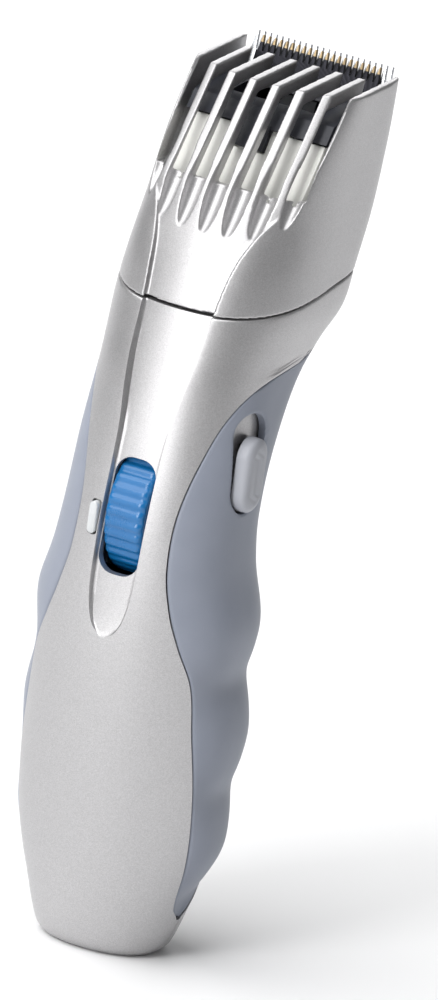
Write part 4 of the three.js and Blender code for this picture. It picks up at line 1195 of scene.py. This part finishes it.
TIP_W = 47.2
TOOTH = 2.0
# The gold teeth start at this level; below it the cutting blade is painted near-black as painted shade.
BLADE_PAINTED_SHADE_TOP = HEAD_Y * math.sin(LEAN) + HEAD_Z * math.cos(LEAN) + TIP_W - TOOTH
finishes = {
    "silver": silver_paint(),
    "grip": grip_rubber(),
    "button": moulded("switch plastic", tone(160, 162, 170), tone(170, 172, 178), 0.42, 0.2, 0.012),
    "dial": moulded("dial plastic", tone(12, 98, 158), tone(18, 112, 174), 0.26, 0.3, 0.006, 0.35),
    "black": moulded("housing plastic", tone(38, 40, 48), tone(46, 48, 56), 0.45, 0.2, 0.015),
    "white": moulded("inner plastic", tone(228, 228, 222), tone(238, 238, 233), 0.4, 0.25, 0.01),
    "steel": ground("ground steel", tone(178, 180, 184), tone(196, 198, 200), 0.2),
    "brass": ground("gold coating", tone(132, 114, 88), tone(156, 138, 108), 0.3, BLADE_PAINTED_SHADE_TOP),
    "clear": clear_nub(),
    "cell": cell_sleeve(),
}
print("finishes:", ", ".join(finishes))

# %% Finishes on the pieces and on the frame's own parts
FRAME_FINISHES = {
    "steel": ("contact_pad", "lower_plate_left", "lower_plate_right", "upper_link", "detent_spring",
              "dial_axle", "motor_shaft", "lever_pin", "blade_spring", "blade_screw_left",
              "blade_screw_right"),
    "black": ("contact_tray", "bay_bulkhead", "motor_mount", "blade_driver", "switch_slider"),
    "white": ("pinion_left", "pinion_right", "eccentric"),
    "brass": ("switch_contact",),
}


def coat(piece, finish):
    piece.data.materials.clear()
    piece.data.materials.append(finish)
    for polygon in piece.data.polygons:
        polygon.material_index = 0


painted = 0
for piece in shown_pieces():
    if "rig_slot" in piece:
        coat(piece, finishes[piece["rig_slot"]])
        painted += 1
for finish, nodes in FRAME_FINISHES.items():
    for node in nodes:
        for material_slot in frame["nodes"][node].material_slots:
            material_slot.material = finishes[finish]
        painted += 1
print("pieces with a finish:", painted)

# %% [markdown]
# ## Floor and light
# A plain pale floor runs far past the view. The light is soft: a very wide light from above, a tall panel from
# the front left, a weak one from the right, and one from behind that brightens the tops of the tines. The
# surround is dim, so paint with a metal look shows the panels as broad bands and darker bands between them.

# %% Floor
FLOOR_RADIUS = 6.0
FLOOR_DROP = 0.05


def floor_disc():
    turns = np.linspace(0, 2 * math.pi, 96, endpoint=False)
    rings = []
    for share in (0.02, 0.1, 0.3, 1):
        radius = FLOOR_RADIUS / MM * share
        rings += [(radius * math.cos(t), radius * math.sin(t), -FLOOR_DROP) for t in turns]
    faces = grid_faces(4, 96, closed=True) + [tuple(range(96))]
    return new_piece("floor", rings, faces)


floor = floor_disc()
paper = Finish("floor paper")
paper.set(
    Base_Color=paper.blend(paper.noise(60, 4), tone(246, 246, 247), tone(250, 250, 250)),
    Roughness=0.85,
    Normal=paper.bump(paper.noise(0.6, 3), 0.01),
)
coat(floor, paper.material)
floor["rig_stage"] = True
print("floor radius:", FLOOR_RADIUS, "m")

# %% Lights
def panel(name, place, aim, width, height, power):
    light = bpy.data.lights.new(name, "AREA")
    light.shape = "RECTANGLE"
    light.size = width
    light.size_y = height
    light.energy = power
    lamp = bpy.data.objects.new(name, light)
    lamp.location = place
    lamp.rotation_euler = (Vector(aim) - Vector(place)).to_track_quat("-Z", "Y").to_euler()
    bpy.context.scene.collection.objects.link(lamp)


MIDDLE = (0, 0, 0.09)
panel("key panel", (-0.25, -1.0, 0.5), MIDDLE, 0.3, 0.9, 6.5)
panel("side panel", (1.0, -0.2, 0.9), MIDDLE, 0.3, 0.6, 0.35)
panel("back panel", (-0.5, 1.0, 0.5), MIDDLE, 0.6, 0.6, 3)
overhead = bpy.data.lights.new("overhead", "SUN")
overhead.energy = 2.75
overhead.angle = math.radians(70)
overhead_lamp = bpy.data.objects.new("overhead", overhead)
overhead_lamp.rotation_euler = (math.radians(16), math.radians(-22), 0)
bpy.context.scene.collection.objects.link(overhead_lamp)
world = bpy.data.worlds.new("surround")
bpy.context.scene.world = world
world.use_nodes = True
world.node_tree.nodes["Background"].inputs["Color"].default_value = (0.86, 0.87, 0.88, 1)
world.node_tree.nodes["Background"].inputs["Strength"].default_value = 0.18
print("lights:", len(bpy.data.lights))

# %% Sizes
low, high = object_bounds()
sizes = {"cad": [list(cad_low), list(cad_high)], "visual": [list(low), list(high)]}
print("sizes in mm:", [[round(c / MM, 2) for c in corner] for box in sizes.values() for corner in box])
